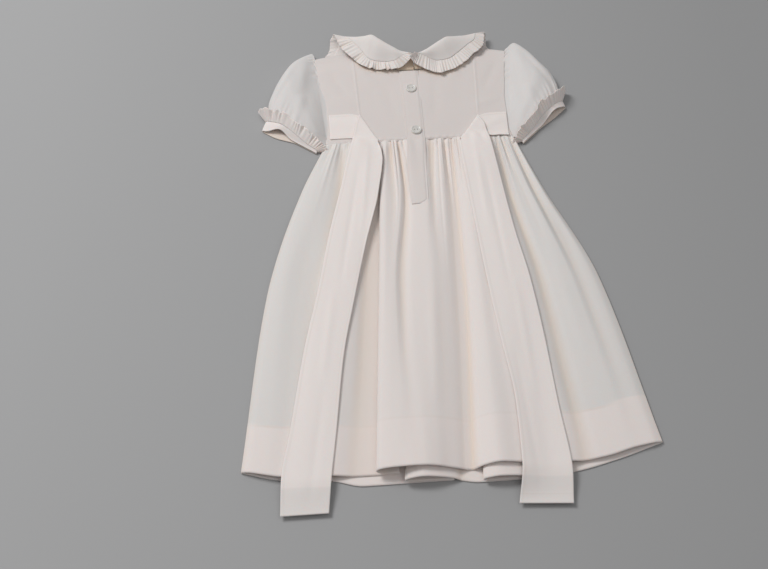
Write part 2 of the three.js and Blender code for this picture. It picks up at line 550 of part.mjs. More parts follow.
function collar(name, rows) {
  const rails = collarRails(rows);
  const alongs = [...steps(18).map((t) => t * 9), ...COLLAR_TURN, ...COLLAR_FRONT];
  return clothWall(name, alongs.map((s) => COLLAR_ACROSS.map(collarSection(rails, s))));
}

function collarRuffle(name, rows) {
  const rails = collarRails(rows);
  const waved = steps(COLLAR_WAVES * 4).map((t) => t * COLLAR_SHOULDER);
  const alongs = [...waved, 8, 8.5, 9, ...COLLAR_TURN, ...COLLAR_FRONT];
  const grid = alongs.map((s) => {
    const [edge, rim] = [rails.edge(s), rails.rim(s)];
    const out = rim.clone().sub(edge).normalize();
    const bend = out.angleTo(edge.clone().sub(collarSection(rails, s)(1.65)));
    const run = rails.edge(s + 0.1).sub(rails.edge(s - 0.1)).normalize();
    const square = Math.max(0.5, run.cross(out).length()); // 1 where the ruffle leaves the edge at a right angle
    const gap = (SEAM + 0.45 + CLOTH * Math.tan(Math.min(bend, 2) / 2)) / square;
    const start = edge.clone().addScaledVector(out, gap);
    const wave = COLLAR_WAVE * Math.cos((2 * Math.PI * COLLAR_WAVES * s) / COLLAR_SHOULDER);
    rim.z += wave * ease(0, 1.2, s) * (1 - ease(COLLAR_SHOULDER - 0.6, COLLAR_SHOULDER - 0.1, s));
    return [start, rim];
  });
  return clothWall(name, grid);
}

// Sash: from the side seam across the bodice, over a slanting fold, and down past the hem. Each
// row is a section of the strip between its two edges; edge A starts at the top of the belt and
// edge B at its bottom.
const stripColumns = ['aX', 'aY', 'bX', 'bY'];
const leftSash = {
  name: 'sash_left',
  belt: table(stripColumns, [[-91.5, 35.5, -91.5, 4], [-80, 35.5, -76, 3.5], [-68, 35, -58, 1], [-60.8, 32.5, -44, -3]]),
  fold: { aX: -58.6, aY: 32, bX: -41, bY: -4 },
  tie: table(stripColumns, [
    [-60.4, 29.5, -41.8, -6.5], [-62.5, 23, -40, -14], [-68, 0, -38.5, -30], [-81, -57, -46, -78], [-98, -126, -62, -139],
    [-111, -190, -77, -205], [-127, -258, -90, -267], [-143, -345, -101, -350], [-152, -391, -107, -393],
    [-154, -427.5, -111, -427],
  ]),
};
const rightSash = {
  name: 'sash_right',
  belt: table(stripColumns, [[97, 28.5, 97, -2], [88, 28.5, 84, -2.5], [76, 27.5, 62, -4], [68.2, 25, 47, -7]]),
  fold: { aX: 66, aY: 24.5, bX: 44, bY: -8 },
  tie: table(stripColumns, [
    [68, 21.5, 44.8, -10.5], [71.5, 15, 43, -17], [75, -7, 43, -30], [80, -58, 45, -66], [87, -128, 49, -132],
    [95.5, -190, 53, -195], [100.5, -255, 58.5, -262], [104, -330, 64.5, -330], [108, -392, 63, -392],
    [105, -431, 57, -428],
  ]),
};
const SASH_END_HEIGHT = 4; // the stiff ends reach past the hem and sink towards the table

function sash({ name, belt, fold, tie }, cover) {
  const side = Math.sign(fold.aX);
  const sections = [];
  const pick = (rows, at) => Object.fromEntries(stripColumns.map((key) => [key, column(rows, key)(at)]));
  for (const t of [0, 0.5, 1, 1.4, 1.8, 2.2, 2.6, 3]) sections.push({ ...pick(belt, t), lift: 0 });
  const along = new THREE.Vector2(fold.bX - fold.aX, fold.bY - fold.aY).normalize();
  const out = new THREE.Vector2(-side * Math.abs(along.y), Math.abs(along.x));
  for (const angle of [-0.5, 0, 0.5].map((t) => t * Math.PI * 0.7)) {
    const shift = TURN * (Math.cos(angle) - 1);
    sections.push({
      aX: fold.aX + out.x * shift,
      aY: fold.aY + out.y * shift,
      bX: fold.bX + out.x * shift,
      bY: fold.bY + out.y * shift,
      lift: TURN * (1 + Math.sin(angle)),
    });
  }
  for (const t of [...steps(10).map((k) => 3 * k), ...steps(16).slice(1).map((k) => mix(3, tie.length - 1, k))]) {
    sections.push({ ...pick(tie, t), lift: 2 * TURN * (1 - ease(2.4, 3.6, t)) });
  }
  const grid = sections.map((section) => steps(6).map((b) => {
    const x = mix(section.aX, section.bX, b);
    const y = mix(section.aY, section.bY, b);
    const past = 1 - ease(-428, -393, y);
    const lying = cover(x, Math.max(y, -383)) + FIRST + 0.4;
    return new THREE.Vector3(x, y, mix(lying, SASH_END_HEIGHT, past) + section.lift);
  }));
  return clothWall(name, grid);
}

// Button band: the lapped edge of the right back, which runs on down the skirt as the placket.
const bandEdges = table(['y', 'leftX', 'rightX'], [
  [92.6, -12.5, 6.7],
  [40, -11.5, 6.7],
  [-3, -11.5, 6.7],
  [-45, -14, 5],
  [-78, -12.8, 2.5],
  [-94, -11.4, -8.5],
]);

function buttonBand(cover) {
  const ys = bandEdges.map((row) => -row.y);
  const leftX = curve(ys, bandEdges.map((row) => row.leftX));
  const rightX = curve(ys, bandEdges.map((row) => row.rightX));
  const grid = steps(22).map((t) => {
    const y = mix(bandEdges[0].y, bandEdges[bandEdges.length - 1].y, t);
    return steps(3).map((b) => {
      const x = mix(leftX(-y), rightX(-y), b);
      return new THREE.Vector3(x, y, cover(x, Math.min(y, 85)) + FIRST + 0.1);
    });
  });
  return clothWall('button_band', grid);
}

// Button: a disc with a rounded rim and two thread holes, flat below.
const HOLE = 1.5;
const HOLE_APART = 3.2;
const BUTTON_ROUND = 0.5;
function button(name, x, y, cover) {
  const outline = new THREE.Shape().absarc(0, 0, BUTTON / 2 - BUTTON_ROUND, 0, 2 * Math.PI);
  for (const side of [-1, 1]) {
    outline.holes.push(new THREE.Path().absarc((side * HOLE_APART) / 2, 0, HOLE / 2, 0, 2 * Math.PI, true));
  }
  const geometry = new THREE.ExtrudeGeometry(outline, {
    depth: BUTTON_THICK - 2 * BUTTON_ROUND,
    curveSegments: 7,
    bevelThickness: BUTTON_ROUND,
    bevelSize: BUTTON_ROUND,
    bevelSegments: 1,
  });
  const shell = new THREE.MeshStandardMaterial({ color: 0xe9e4dc, roughness: 0.25, metalness: 0 });
  const mesh = new THREE.Mesh(geometry, shell);
  mesh.name = name;
  mesh.position.set(x, y, cover(x, y) + BUTTON_ROUND);
  return mesh;
}

const frontSkirtCloth = frontSkirt();
const backSkirtCloth = backSkirt();
const leftBack = backBodice('back_bodice_left', sides.left, 6.2, -57, -62, 0);
const rightBack = backBodice('back_bodice_right', sides.right, 7.1, 65, 71, CLOTH + SEAM);
const band = buttonBand(coverOf([leftBack, backSkirtCloth], 4));
const onBand = coverOf([band], 4);
const carriers = coverOf([leftBack, rightBack, backSkirtCloth, frontSkirtCloth], 8);

const gown = new THREE.Group();
gown.add(
  frontSkirtCloth,
  backSkirtCloth,
  frontBodice(),
  leftBack,
  rightBack,
  band,
  button('button_upper', -1.7, 66.3, onBand),
  button('button_lower', -0.5, 8.7, onBand),
  sash(leftSash, carriers),
  sash(rightSash, carriers),
  sleeve('sleeve_left', leftSleeve, sides.left),
  sleeve('sleeve_right', rightSleeve, sides.right),
  cuff('cuff_left', leftCuff),
  cuff('cuff_right', rightCuff),
  cuffRuffle('cuff_ruffle_left', leftSleeve),
  cuffRuffle('cuff_ruffle_right', rightSleeve),
  collar('collar_left', leftCollar),
  collar('collar_right', rightCollar),
  collarRuffle('collar_ruffle_left', leftCollar),
  collarRuffle('collar_ruffle_right', rightCollar),
);

// The origin moves to the middle of the footprint, on the table.
const box = new THREE.Box3().setFromObject(gown);
gown.position.set(-(box.min.x + box.max.x) / 2, -(box.min.y + box.max.y) / 2, 0);

export default gown;
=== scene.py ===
import math
import bpy
import numpy as np
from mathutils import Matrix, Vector


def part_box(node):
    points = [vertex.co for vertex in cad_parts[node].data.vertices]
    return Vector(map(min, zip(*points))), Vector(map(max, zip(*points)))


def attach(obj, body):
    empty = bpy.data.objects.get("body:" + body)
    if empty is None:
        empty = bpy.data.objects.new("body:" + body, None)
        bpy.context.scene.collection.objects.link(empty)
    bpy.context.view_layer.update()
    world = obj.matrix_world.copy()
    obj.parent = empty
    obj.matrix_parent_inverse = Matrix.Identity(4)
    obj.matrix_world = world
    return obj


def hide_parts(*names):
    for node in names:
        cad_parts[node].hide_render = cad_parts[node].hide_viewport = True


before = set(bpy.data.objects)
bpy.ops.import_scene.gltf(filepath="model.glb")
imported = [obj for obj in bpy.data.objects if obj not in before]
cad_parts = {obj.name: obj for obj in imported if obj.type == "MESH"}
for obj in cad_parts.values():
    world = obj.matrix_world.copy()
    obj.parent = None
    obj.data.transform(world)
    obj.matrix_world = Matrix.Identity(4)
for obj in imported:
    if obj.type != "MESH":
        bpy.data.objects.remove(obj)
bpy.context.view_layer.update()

# Every size below is in millimetres: x from the middle of the back, y from the waist up to the neck,
# z up from the table. The upper button ties that place to the frame.
buttonSpots = {"button_upper": (-1.7, 66.3), "button_lower": (-0.5, 8.7)}
low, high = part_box("button_upper")
shift = np.array([500 * (low[0] + high[0]) - buttonSpots["button_upper"][0],
                  500 * (low[1] + high[1]) - buttonSpots["button_upper"][1], 0])
cadWall, seamGap = 1.0, 0.3  # the solids' wall and the gap between two; the thinner cloth lies mid-wall
firstLayer = cadWall / 2
secondLayer = 1.5 * cadWall + seamGap
sides = ("left", "right")


def smoothCurve(stations, values):
    # A cubic through the values at rising stations. Its slope at a station is the harmonic mean of
    # the slopes on both sides, or 0 at a peak, so it never overshoots.
    stations, values = np.asarray(stations, float), np.asarray(values, float)
    step = np.diff(stations).reshape((-1,) + (1,) * (values.ndim - 1))
    slope = np.diff(values, axis=0) / step
    product, total = slope[:-1] * slope[1:], slope[:-1] + slope[1:]
    rising = product > 0
    inner = np.where(rising, 2 * product / np.where(rising, total, 1), 0)
    tangent = np.concatenate([slope[:1], inner, slope[-1:]])

    def at(t):
        t = np.clip(np.asarray(t, float), stations[0], stations[-1])
        k = np.clip(np.searchsorted(stations, t, side="right") - 1, 0, len(stations) - 2)
        gap = stations[k + 1] - stations[k]
        f = (t - stations[k]) / gap
        shape = t.shape + (1,) * (values.ndim - 1)
        f, gap = f.reshape(shape), gap.reshape(shape)
        g = 1 - f
        return ((1 + 2 * f) * g * g * values[k] + f * g * g * gap * tangent[k]
                + f * f * (3 - 2 * f) * values[k + 1] - f * f * g * gap * tangent[k + 1])
    return at


def steps(*runs):  # runs of even steps joined end to end, each as start, end and count
    first, *rest = [np.linspace(*run) for run in runs]
    return np.concatenate([first] + [run[1:] for run in rest])


def ease(start, end, t):  # a soft step from 0 at the start to 1 at the end
    f = np.clip((np.asarray(t, float) - start) / (end - start), 0, 1)
    return f * f * (3 - 2 * f)


def mix(a, b, t):
    return a + (b - a) * t


def bump(t, centre, width):  # a soft hill, 1 at its centre
    return np.exp(-((t - centre) / width) ** 2)


def unit(vectors):
    return vectors / np.maximum(np.linalg.norm(vectors, axis=-1, keepdims=True), 1e-9)


def uneven(t, count, seed):  # a wave whose spacing and height wander, for gathers
    rng = np.random.default_rng(seed)
    sway = sum(rng.uniform(0.1, 0.3) * np.sin(2 * np.pi * (k * t + rng.random())) for k in (1, 2, 3, 5))
    size = (0.75 + 0.25 * np.sin(2 * np.pi * (2.7 * t + rng.random()))
            + 0.15 * np.sin(2 * np.pi * (6.3 * t + rng.random())))
    return size * np.cos(2 * np.pi * (count * t + sway))


def normalsOf(grid, ring=False):
    # Cross product of the steps across and along the grid, at unit length.
    across = (np.roll(grid, -1, 1) - np.roll(grid, 1, 1)) if ring else np.gradient(grid, axis=1)
    return unit(np.cross(across, np.gradient(grid, axis=0)))


def creased(grid, creases, ring=False):
    # Each crease is a line on the drawing, from x1 y1 to x2 y2, with a width and a height: the cloth
    # moves along its normal by the height times a bell across the line and a long arch along it.
    lift = np.zeros(grid.shape[:2])
    for x1, y1, x2, y2, width, height in creases:
        run = np.array([x2 - x1, y2 - y1])
        length = np.hypot(*run)
        run = run / length
        along = ((grid[..., 0] - x1) * run[0] + (grid[..., 1] - y1) * run[1]) / length
        off = (grid[..., 0] - x1) * run[1] - (grid[..., 1] - y1) * run[0]
        arch = np.sin(np.pi * np.clip(along, 0, 1)) ** 0.7
        lift += height * arch * np.exp(-(off / width) ** 2)
    normal = normalsOf(grid, ring)
    normal *= np.where(normal[..., 2:] < 0, -1, 1)
    return grid + normal * lift[..., None]


def addObject(name, data):
    added = bpy.data.objects.new(name, data)
    bpy.context.collection.objects.link(added)
    return added


def wallMesh(name, grid, wall, ring=False, extra=None):
    # A wall round a grid of middle points: half of it goes to each side along the normal, and rims
    # close it. The UV map is the cloth's own measure across and along, in metres.
    rows, cols = grid.shape[:2]
    normal = normalsOf(grid, ring)
    half = (np.broadcast_to(np.asarray(wall, float), (rows, cols)) / 2)[..., None]
    points = np.concatenate([(grid + normal * half).reshape(-1, 3), (grid - normal * half).reshape(-1, 3)])
    points = (points + shift) / 1000
    r = np.arange(rows)[:, None] * np.ones(cols + 1, int)
    c = np.arange(cols + 1)[None, :] * np.ones((rows, 1), int)
    spans = cols if ring else cols - 1
    corner = [(r[:-1, :spans], c[:-1, :spans]), (r[:-1, 1:spans + 1], c[:-1, 1:spans + 1]),
              (r[1:, 1:spans + 1], c[1:, 1:spans + 1]), (r[1:, :spans], c[1:, :spans])]
    top = np.stack([np.stack([a.ravel(), b.ravel(), 0 * a.ravel()], 1) for a, b in corner], 1)
    bottom = top[:, ::-1].copy()
    bottom[..., 2] = 1

    def rim(rowsOf, colsOf):  # a strip of faces that joins the two layers along one edge
        first = np.stack([rowsOf[:-1], colsOf[:-1]], 1)
        second = np.stack([rowsOf[1:], colsOf[1:]], 1)
        quad = np.stack([first, first, second, second], 1)
        layer = np.tile(np.array([0, 1, 1, 0])[None, :, None], (len(quad), 1, 1))
        return np.concatenate([quad, layer], 2)

    walk = np.arange(spans + 1)
    rims = [rim(np.zeros(spans + 1, int), walk), rim(np.full(spans + 1, rows - 1), walk)[:, ::-1]]
    if not ring:
        climb = np.arange(rows)
        rims += [rim(climb, np.zeros(rows, int))[:, ::-1], rim(climb, np.full(rows, cols - 1))]
    corners = np.concatenate([top, bottom] + rims)
    faces = corners[..., 2] * rows * cols + corners[..., 0] * cols + corners[..., 1] % cols
    p = points[faces]
    volume = (np.einsum("ij,ij->", p[:, 0], np.cross(p[:, 1], p[:, 2]))
              + np.einsum("ij,ij->", p[:, 0], np.cross(p[:, 2], p[:, 3])))
    if volume < 0:
        faces, corners = faces[:, ::-1], corners[:, ::-1]
    mesh = bpy.data.meshes.new(name)
    mesh.from_pydata(points.tolist(), [], faces.tolist())
    smooth = np.zeros(len(faces), bool)
    smooth[:2 * len(top)] = True
    mesh.polygons.foreach_set("use_smooth", smooth)
    closed = np.concatenate([grid, grid[:, :1]], 1) if ring else grid
    across = np.linalg.norm(np.diff(closed, axis=1), axis=2).mean(0).cumsum()
    along = np.linalg.norm(np.diff(closed, axis=0), axis=2).mean(1).cumsum()
    u, v = np.concatenate([[0], across, across[-1:]]), np.concatenate([[0], along])
    uv = np.stack([u[corners[..., 1]], v[corners[..., 0]]], 2) / 1000
    mesh.uv_layers.new(name="cut").data.foreach_set("uv", uv.ravel())
    for key, field in (extra or {}).items():
        values = np.tile(np.broadcast_to(field, (rows, cols)).ravel(), 2)
        mesh.attributes.new(key, "FLOAT", "POINT").data.foreach_set("value", values)
    mesh.update()
    return addObject(name, mesh)


def finishPiece(piece, material, node):
    piece.data.materials.append(material)
    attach(piece, "root")
    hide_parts(node)


def hollowOf(grid, span, depth, ring=False):
    # How far each point lies below the mean of its row within span columns, as a share of depth.
    z = np.pad(grid[..., 2], ((0, 0), (span, span)), mode="wrap" if ring else "edge")
    cols, reads = grid.shape[1], range(2 * span + 1)
    mean = sum(z[:, k:k + cols] for k in reads) / len(reads)
    return np.clip((mean - grid[..., 2]) / depth, 0, 1)


def clothSize(piece):  # the cloth's area in square metres, half of what its two faces have
    areas = np.zeros(len(piece.data.polygons))
    piece.data.polygons.foreach_get("area", areas)
    return areas.sum() / 2


def coverOf(grids, reach, wall, cell=1.5):
    # Height map of what lies below: the highest point within reach, evened out over the same reach.
    # It starts at the west and south and is a little larger than the gown.
    west, south, nx, ny = -235, -455, int(480 / cell), int(645 / cell)
    top = np.zeros((ny, nx))
    for grid in grids:
        i = np.clip(((grid[..., 0] - west) / cell).round().astype(int), 0, nx - 1)
        j = np.clip(((grid[..., 1] - south) / cell).round().astype(int), 0, ny - 1)
        np.maximum.at(top, (j, i), grid[..., 2] + wall / 2)
    n = int(math.ceil(reach / cell))
    disc = [(a, b) for a in range(-n, n + 1) for b in range(-n, n + 1) if a * a + b * b <= n * n]
    raised = np.max([np.roll(top, d, (0, 1)) for d in disc], axis=0)
    even = np.mean([np.roll(raised, d, (0, 1)) for d in disc], axis=0)

    def at(x, y):
        gx = np.clip((x - west) / cell, 0, nx - 2)
        gy = np.clip((y - south) / cell, 0, ny - 2)
        i, j = gx.astype(int), gy.astype(int)
        fx, fy = gx - i, gy - j
        return mix(mix(even[j, i], even[j, i + 1], fx), mix(even[j + 1, i], even[j + 1, i + 1], fx), fy)
    return at


# Colours of the cotton, with the warm tint used for painted shade, its gloss, and its weave in metres. A band
# of the wave texture is about twice bandWidth wide at scale 1, so a thread takes up half of one.
cottonLook = {
    "single": (0.79, 0.752, 0.728), "patch": (0.768, 0.742, 0.722), "doubled": (0.862, 0.79, 0.76),
    # The warm tint below is painted shade, laid into folds, hollows and places under other parts.
    "deep": (0.74, 0.59, 0.45), "stitch": (0.70, 0.63, 0.57), "roughness": 0.88, "sheen": 0.15,
    "threadPitch": 0.00032, "threadHeight": 0.00003, "bandWidth": 0.15915, "crinkle": 0.0004,
    "glowDepth": (0.0008, 0.0005, 0.0004), "glow": 0.15,
}


def joinNodes(tree, rows):
    # Makes nodes from short rows of name, type, settings and links, so a material reads as a list.
    made = {}
    for label, kind, settings, links in rows:
        node = tree.nodes.new(kind)
        node.label = label
        for key, value in settings.items():
            if isinstance(key, int) or key in node.inputs:
                node.inputs[key].default_value = value
            else:
                setattr(node, key, value)
        for socket, (source, output) in links.items():
            tree.links.new(made[source].outputs[output], node.inputs[socket])
        made[label] = node
    return made


def emptyMaterial(name):
    material = bpy.data.materials.new(name)
    material.use_nodes = True
    material.node_tree.nodes.clear()
    return material


def noiseRow(label, scale, **settings):  # a row for a noise that is fixed to the object
    return label, "ShaderNodeTexNoise", {"Scale": scale, **settings}, {"Vector": ("place", "Object")}


def tintRow(label, mask, below, colour):  # a row that lays a colour over what is below, by the mask
    return (label, "ShaderNodeMix", {"data_type": "RGBA", 7: colour + (1,)},
            {0: (mask, "Fac"), 6: (below, 2)})


def cottonMaterial(name, **changes):
    # Single cloth is a little grey because the table shows through it; doubled cloth is lighter, a warm painted
    # shade darkens the bottoms of folds and the places under other parts, and stitches are darker.
    look = {**cottonLook, **changes}
    threads = {"wave_type": "BANDS", "Scale": look["bandWidth"] / look["threadPitch"], "Distortion": 0.4,
               "Detail": 1.0, "Detail Scale": 2.0}
    material = emptyMaterial(name)
    joinNodes(material.node_tree, [
        ("place", "ShaderNodeTexCoord", {}, {}),
        noiseRow("patches", 14.0, Detail=3.0, Roughness=0.55),
        noiseRow("slubs", 420.0, Detail=2.0, Roughness=0.6),
        ("blend", "ShaderNodeMath", {"operation": "MULTIPLY_ADD", 1: 0.35},
         {0: ("slubs", "Fac"), 2: ("patches", "Fac")}),
        ("range", "ShaderNodeMapRange", {"From Min": 0.45, "From Max": 0.95, "To Min": 0.0, "To Max": 0.8},
         {"Value": ("blend", "Value")}),
        *[(key + "Mask", "ShaderNodeAttribute", {"attribute_name": key}, {})
          for key in ("doubled", "paintedShade", "stitch")],
        ("plain", "ShaderNodeMix", {"data_type": "RGBA", 6: look["single"] + (1,), 7: look["patch"] + (1,)},
         {0: ("range", "Result")}),
        tintRow("double", "doubledMask", "plain", look["doubled"]),
        # Painted shade: the warm tint laid over folds, hollows and places under other parts.
        tintRow("deep", "paintedShadeMask", "double", look["deep"]),
        tintRow("stitched", "stitchMask", "deep", look["stitch"]),
        ("warp", "ShaderNodeTexWave", {"bands_direction": "X", **threads}, {"Vector": ("place", "UV")}),
        ("weft", "ShaderNodeTexWave", {"bands_direction": "Y", **threads}, {"Vector": ("place", "UV")}),
        ("weave", "ShaderNodeMath", {"operation": "MAXIMUM"}, {0: ("warp", "Fac"), 1: ("weft", "Fac")}),
        noiseRow("crinkles", 55.0, Detail=4.0, Roughness=0.5, Distortion=0.35),
        ("crinkleBump", "ShaderNodeBump", {"Strength": 0.6, "Distance": look["crinkle"]},
         {"Height": ("crinkles", "Fac")}),
        ("weaveBump", "ShaderNodeBump", {"Strength": 0.35, "Distance": look["threadHeight"]},
         {"Height": ("weave", "Value"), "Normal": ("crinkleBump", "Normal")}),
        ("cloth", "ShaderNodeBsdfPrincipled",
         {"Roughness": look["roughness"], "Sheen Weight": look["sheen"], "Sheen Roughness": 0.5,
          "Specular IOR Level": 0.2, "Subsurface Weight": look["glow"],
          "Subsurface Radius": look["glowDepth"], "Subsurface Scale": 0.5},
         {"Base Color": ("stitched", 2), "Normal": ("weaveBump", "Normal")}),
        ("out", "ShaderNodeOutputMaterial", {}, {"Surface": ("cloth", "BSDF")}),
    ])
    return material


cotton = cottonMaterial("ivory cotton")
# A copy of the cotton with lighter doubled cloth for the ties, cuffs and cuff ruffles: painted light.
litTieCotton = cottonMaterial("ivory cotton with painted light, ties", doubled=(0.90, 0.83, 0.80))
# A darker copy of the same cotton for the bodice and its band: painted shade.
shadedBodiceCotton = cottonMaterial("ivory cotton with painted shade, bodice", single=(0.752, 0.69, 0.665),
                              patch=(0.742, 0.692, 0.672), doubled=(0.785, 0.718, 0.69))
# A darker copy of the same cotton for the sleeves: painted shade.
shadedSleeveCotton = cottonMaterial("ivory cotton with painted shade, sleeves", single=(0.742, 0.712, 0.7),
                              patch=(0.73, 0.706, 0.694))
print("materials made")

# The skirt. Its cloth is thicker by hemRise where the hem doubles it, and tucked is how far the back
# goes up under the bodice.
skirt = {"wall": 0.45, "hemDepth": 51, "hemRise": 0.25, "hemSoft": 0.6, "stitchIn": 1.5, "stitchWidth": 0.5,
         "stitchShade": 0.4, "waist": -3.5, "waistTop": 5, "waistMiddle": 2, "waistHalf": 100,
         "tucked": 1.6, "sunk": 0.4, "pointsInPleat": 7, "points": 14}
# Creases and crests from waist to hem: x at the waist, below the gathers, halfway and at the hem,
# then the height at the same four places.
skirtStations = [0, 0.16, 0.49, 1]
skirtLines = np.array([
    [-97, -124, -161.5, -188, secondLayer, secondLayer, secondLayer, secondLayer],  # left side seam
    [-93, -118, -154, -179, 4.5, 6, 5.5, 5],
    [-87, -107, -143, -164, 6.0, 7.6, 7.2, 6.2],  # side crest
    [-82.5, -97, -129, -152, 6.2, 7.0, 6.4, 5.8],
    [-77, -85, -116, -139, 2.8, 4.6, 7.0, 6.2],
    [-70, -77, -104, -128, 7, 9.5, 9.5, 7.5],  # crests under the left sash
    [-55, -58, -85, -108, 6, 9, 8.5, 6.5],
    [-44, -49, -64, -84, 2.5, 3.5, 2.2, 2],  # foot of the pleat
    [-40, -43, -50, -62, 2.4, 1.9, 1.8, 1.8],  # its under layer
    [-38.6, -36.5, -38, -47.2, 2.6, 1.85, 1.85, 1.85],
    [-38, -35.5, -37, -46.2, 3, 2.8, 2.8, 2.8],  # inner turn
    [-37.4, -36.5, -38, -47.2, 3.6, 3.75, 3.75, 3.75],
    [-36.8, -39, -45, -56, 4.2, 3.9, 3.9, 3.9],
    [-36.2, -41.8, -50.5, -64.5, 4.6, 4.8, 5.4, 6],
    [-35.6, -43, -52.5, -67, 5, 6.4, 8, 9.5],  # edge of the pleat
    [-35, -41.8, -50.5, -64.5, 5.4, 8, 11, 13],
    [-33.5, -38, -46, -59, 6.2, 9, 12.5, 15],  # its crest
    [-29.5, -30, -42, -51, 2.5, 7, 12.4, 16.3],
    [-25, -24, -37, -42, 6.5, 8, 12, 17],
    [-20, -17, -30, -33, 2.5, 4, 9.5, 17.5],  # gather beside the placket
    [-14, -10, -20, -24, 6, 7.5, 11, 17.3],
    [0, 3, -6, -12, 6.5, 8.5, 11.5, 14.5],
    [17, 11.5, 7, -3, 2.5, 5.5, 9.5, 10.5],
    [22, 20, 16, 6, 6, 7.5, 7, 6.8],
    [28, 28, 24.5, 13, 2.6, 3.2, 3.0, 3.2],
    [34.5, 33.5, 31, 19, 2.2, secondLayer, secondLayer, secondLayer],  # deep hollow
    [39, 39, 37, 29, 5.5, 7.5, 8.5, 9.8],
    [45, 46, 47, 44, 7, 10, 12, 15.5],  # right crest
    [56, 58, 59, 61, 7.5, 10.5, 11.5, 12.3],
    [68, 72, 79, 82, 7, 9.5, 9.5, 7.5],  # crests under the right sash
    [76.5, 80, 95, 104, 6.5, 8, 8, 7.5],
    [81.5, 87, 107, 122, 2.4, 2.4, 3, 3.5],
    [85, 93, 117, 137, 5.6, 6.4, 5.6, 4.8],
    [88.5, 98.5, 126, 149, 3, 6.6, 6.6, 5.2],
    [91.5, 104.5, 136, 163, 6, 8.4, 7.4, 5.4],  # right side crest
    [96, 110.5, 144, 173, 2.5, 3.6, 5.6, 5.0],
    [99.5, 117, 156, 185, 4, 5.5, 5, 4.5],
    [101.5, 121, 164, 194, secondLayer, secondLayer, secondLayer, secondLayer],  # right side seam
])
pleatRows = (7, 17)  # the rows that bend sharply
backHem = smoothCurve([-188, -150, -100, 0, 100, 140, 170, 194],
                      [-381, -389.5, -391.5, -391.5, -391, -387, -379, -374.3])
frontHem = smoothCurve([-188, -150, -108, -79, 0, 25, 61, 108, 150, 194],
                       [-381, -391, -394, -401, -400, -403.5, -403, -399, -389, -374.3])


def waistHeight(x):  # the side seams lie down, and the gathers carry the middle
    return mix(secondLayer, skirt["waistTop"], 1 - ((x - skirt["waistMiddle"]) / skirt["waistHalf"]) ** 6)


# Fine gathers below the waist: place in rows of the table above, width in rows, height, and how far
# down they fade out, as a share of the skirt.
gathers = np.array([
    [0.9, 0.22, 1.0, 0.10], [1.6, 0.20, -0.9, 0.08], [2.4, 0.22, 1.1, 0.15], [3.4, 0.22, -0.9, 0.10],
    [4.1, 0.18, 0.9, 0.08], [4.7, 0.2, -0.9, 0.09], [5.5, 0.2, 1.1, 0.12], [6.3, 0.2, -0.9, 0.09],
    [6.8, 0.18, 0.9, 0.08], [17.3, 0.13, -1.3, 0.10], [17.65, 0.13, 1.3, 0.16], [18.0, 0.12, -1.3, 0.14],
    [18.4, 0.14, 1.2, 0.12], [18.8, 0.13, -1.4, 0.2], [19.3, 0.16, 1.2, 0.15], [19.75, 0.14, -1.2, 0.13],
    [20.3, 0.13, 0.9, 0.12], [20.8, 0.12, -0.9, 0.10], [21.3, 0.13, 0.9, 0.12], [21.7, 0.12, -1.0, 0.10],
    [22.3, 0.16, 1.0, 0.18], [22.8, 0.14, -1.3, 0.22], [23.4, 0.16, 1.1, 0.14], [24.0, 0.14, -1.2, 0.13],
    [24.5, 0.16, 1.2, 0.18], [25.2, 0.16, -1.3, 0.12], [25.7, 0.16, 1.1, 0.12], [26.4, 0.14, -1.2, 0.14],
    [26.9, 0.14, 1.1, 0.10], [27.4, 0.13, 1.0, 0.12], [27.8, 0.12, -1.1, 0.10], [28.3, 0.14, 1.1, 0.13],
    [28.9, 0.16, -1.2, 0.12], [29.5, 0.16, 1.0, 0.10], [30.2, 0.16, -1.1, 0.12], [30.8, 0.18, 1.2, 0.14],
    [31.5, 0.16, -1.1, 0.12], [32.1, 0.18, 1.1, 0.13], [32.7, 0.16, -1.1, 0.10], [33.4, 0.18, 1.1, 0.14],
    [34.0, 0.16, -1.0, 0.10], [34.6, 0.18, 1.0, 0.12], [35.4, 0.2, -0.9, 0.10], [36.1, 0.18, 0.8, 0.08],
])


def tableGrid(downs, rowCount, lines, stations):
    # Both tracks of every line are read at each height, then joined across by a smooth curve.
    half = lines.shape[1] // 2
    x = smoothCurve(stations, lines[:, :half].T)(downs)
    z = smoothCurve(stations, lines[:, half:].T)(downs)
    rows = np.arange(lines.shape[0])
    return smoothCurve(rows, x.T)(rowCount).T, smoothCurve(rows, z.T)(rowCount).T


def backSkirtGrid():
    downs = steps((0, 0.12, 40), (0.12, 0.86, 80), (0.86, 1, 26))
    last = len(skirtLines) - 1
    counts = [skirt["pointsInPleat" if pleatRows[0] <= k < pleatRows[1] else "points"] for k in range(last)]
    parts = [np.linspace(k, k + 1, count, endpoint=False) for k, count in enumerate(counts)]
    across = np.concatenate(parts + [[last]])
    x, z = tableGrid(downs, across, skirtLines, skirtStations)
    v = downs[:, None]
    z = mix(waistHeight(x), z, 0.3 + 0.7 * ease(0, 0.035, v))
    for place, width, height, fade in gathers:
        z = z + height * bump(across, place, width)[None, :] * ease(0, 0.006, v) * np.exp(-(v / fade) ** 2)
    hidden = 1 - ease(0, 0.012, v)  # the seam allowance goes under the bodice
    y = mix(skirt["waist"], backHem(x), v) + skirt["tucked"] * hidden
    return np.stack([x, y, z - skirt["sunk"] * hidden], 2), downs


def hemLook(grid, hem):
    # How far the hem doubles the cloth, and the shade of its stitch line, by the way up from the hem.
    depth, soft = skirt["hemDepth"], skirt["hemSoft"]
    fromHem = grid[..., 1] - hem(grid[..., 0])
    stitch = bump(fromHem, depth - skirt["stitchIn"], skirt["stitchWidth"])
    return 1 - ease(depth - soft, depth + soft, fromHem), skirt["stitchShade"] * stitch


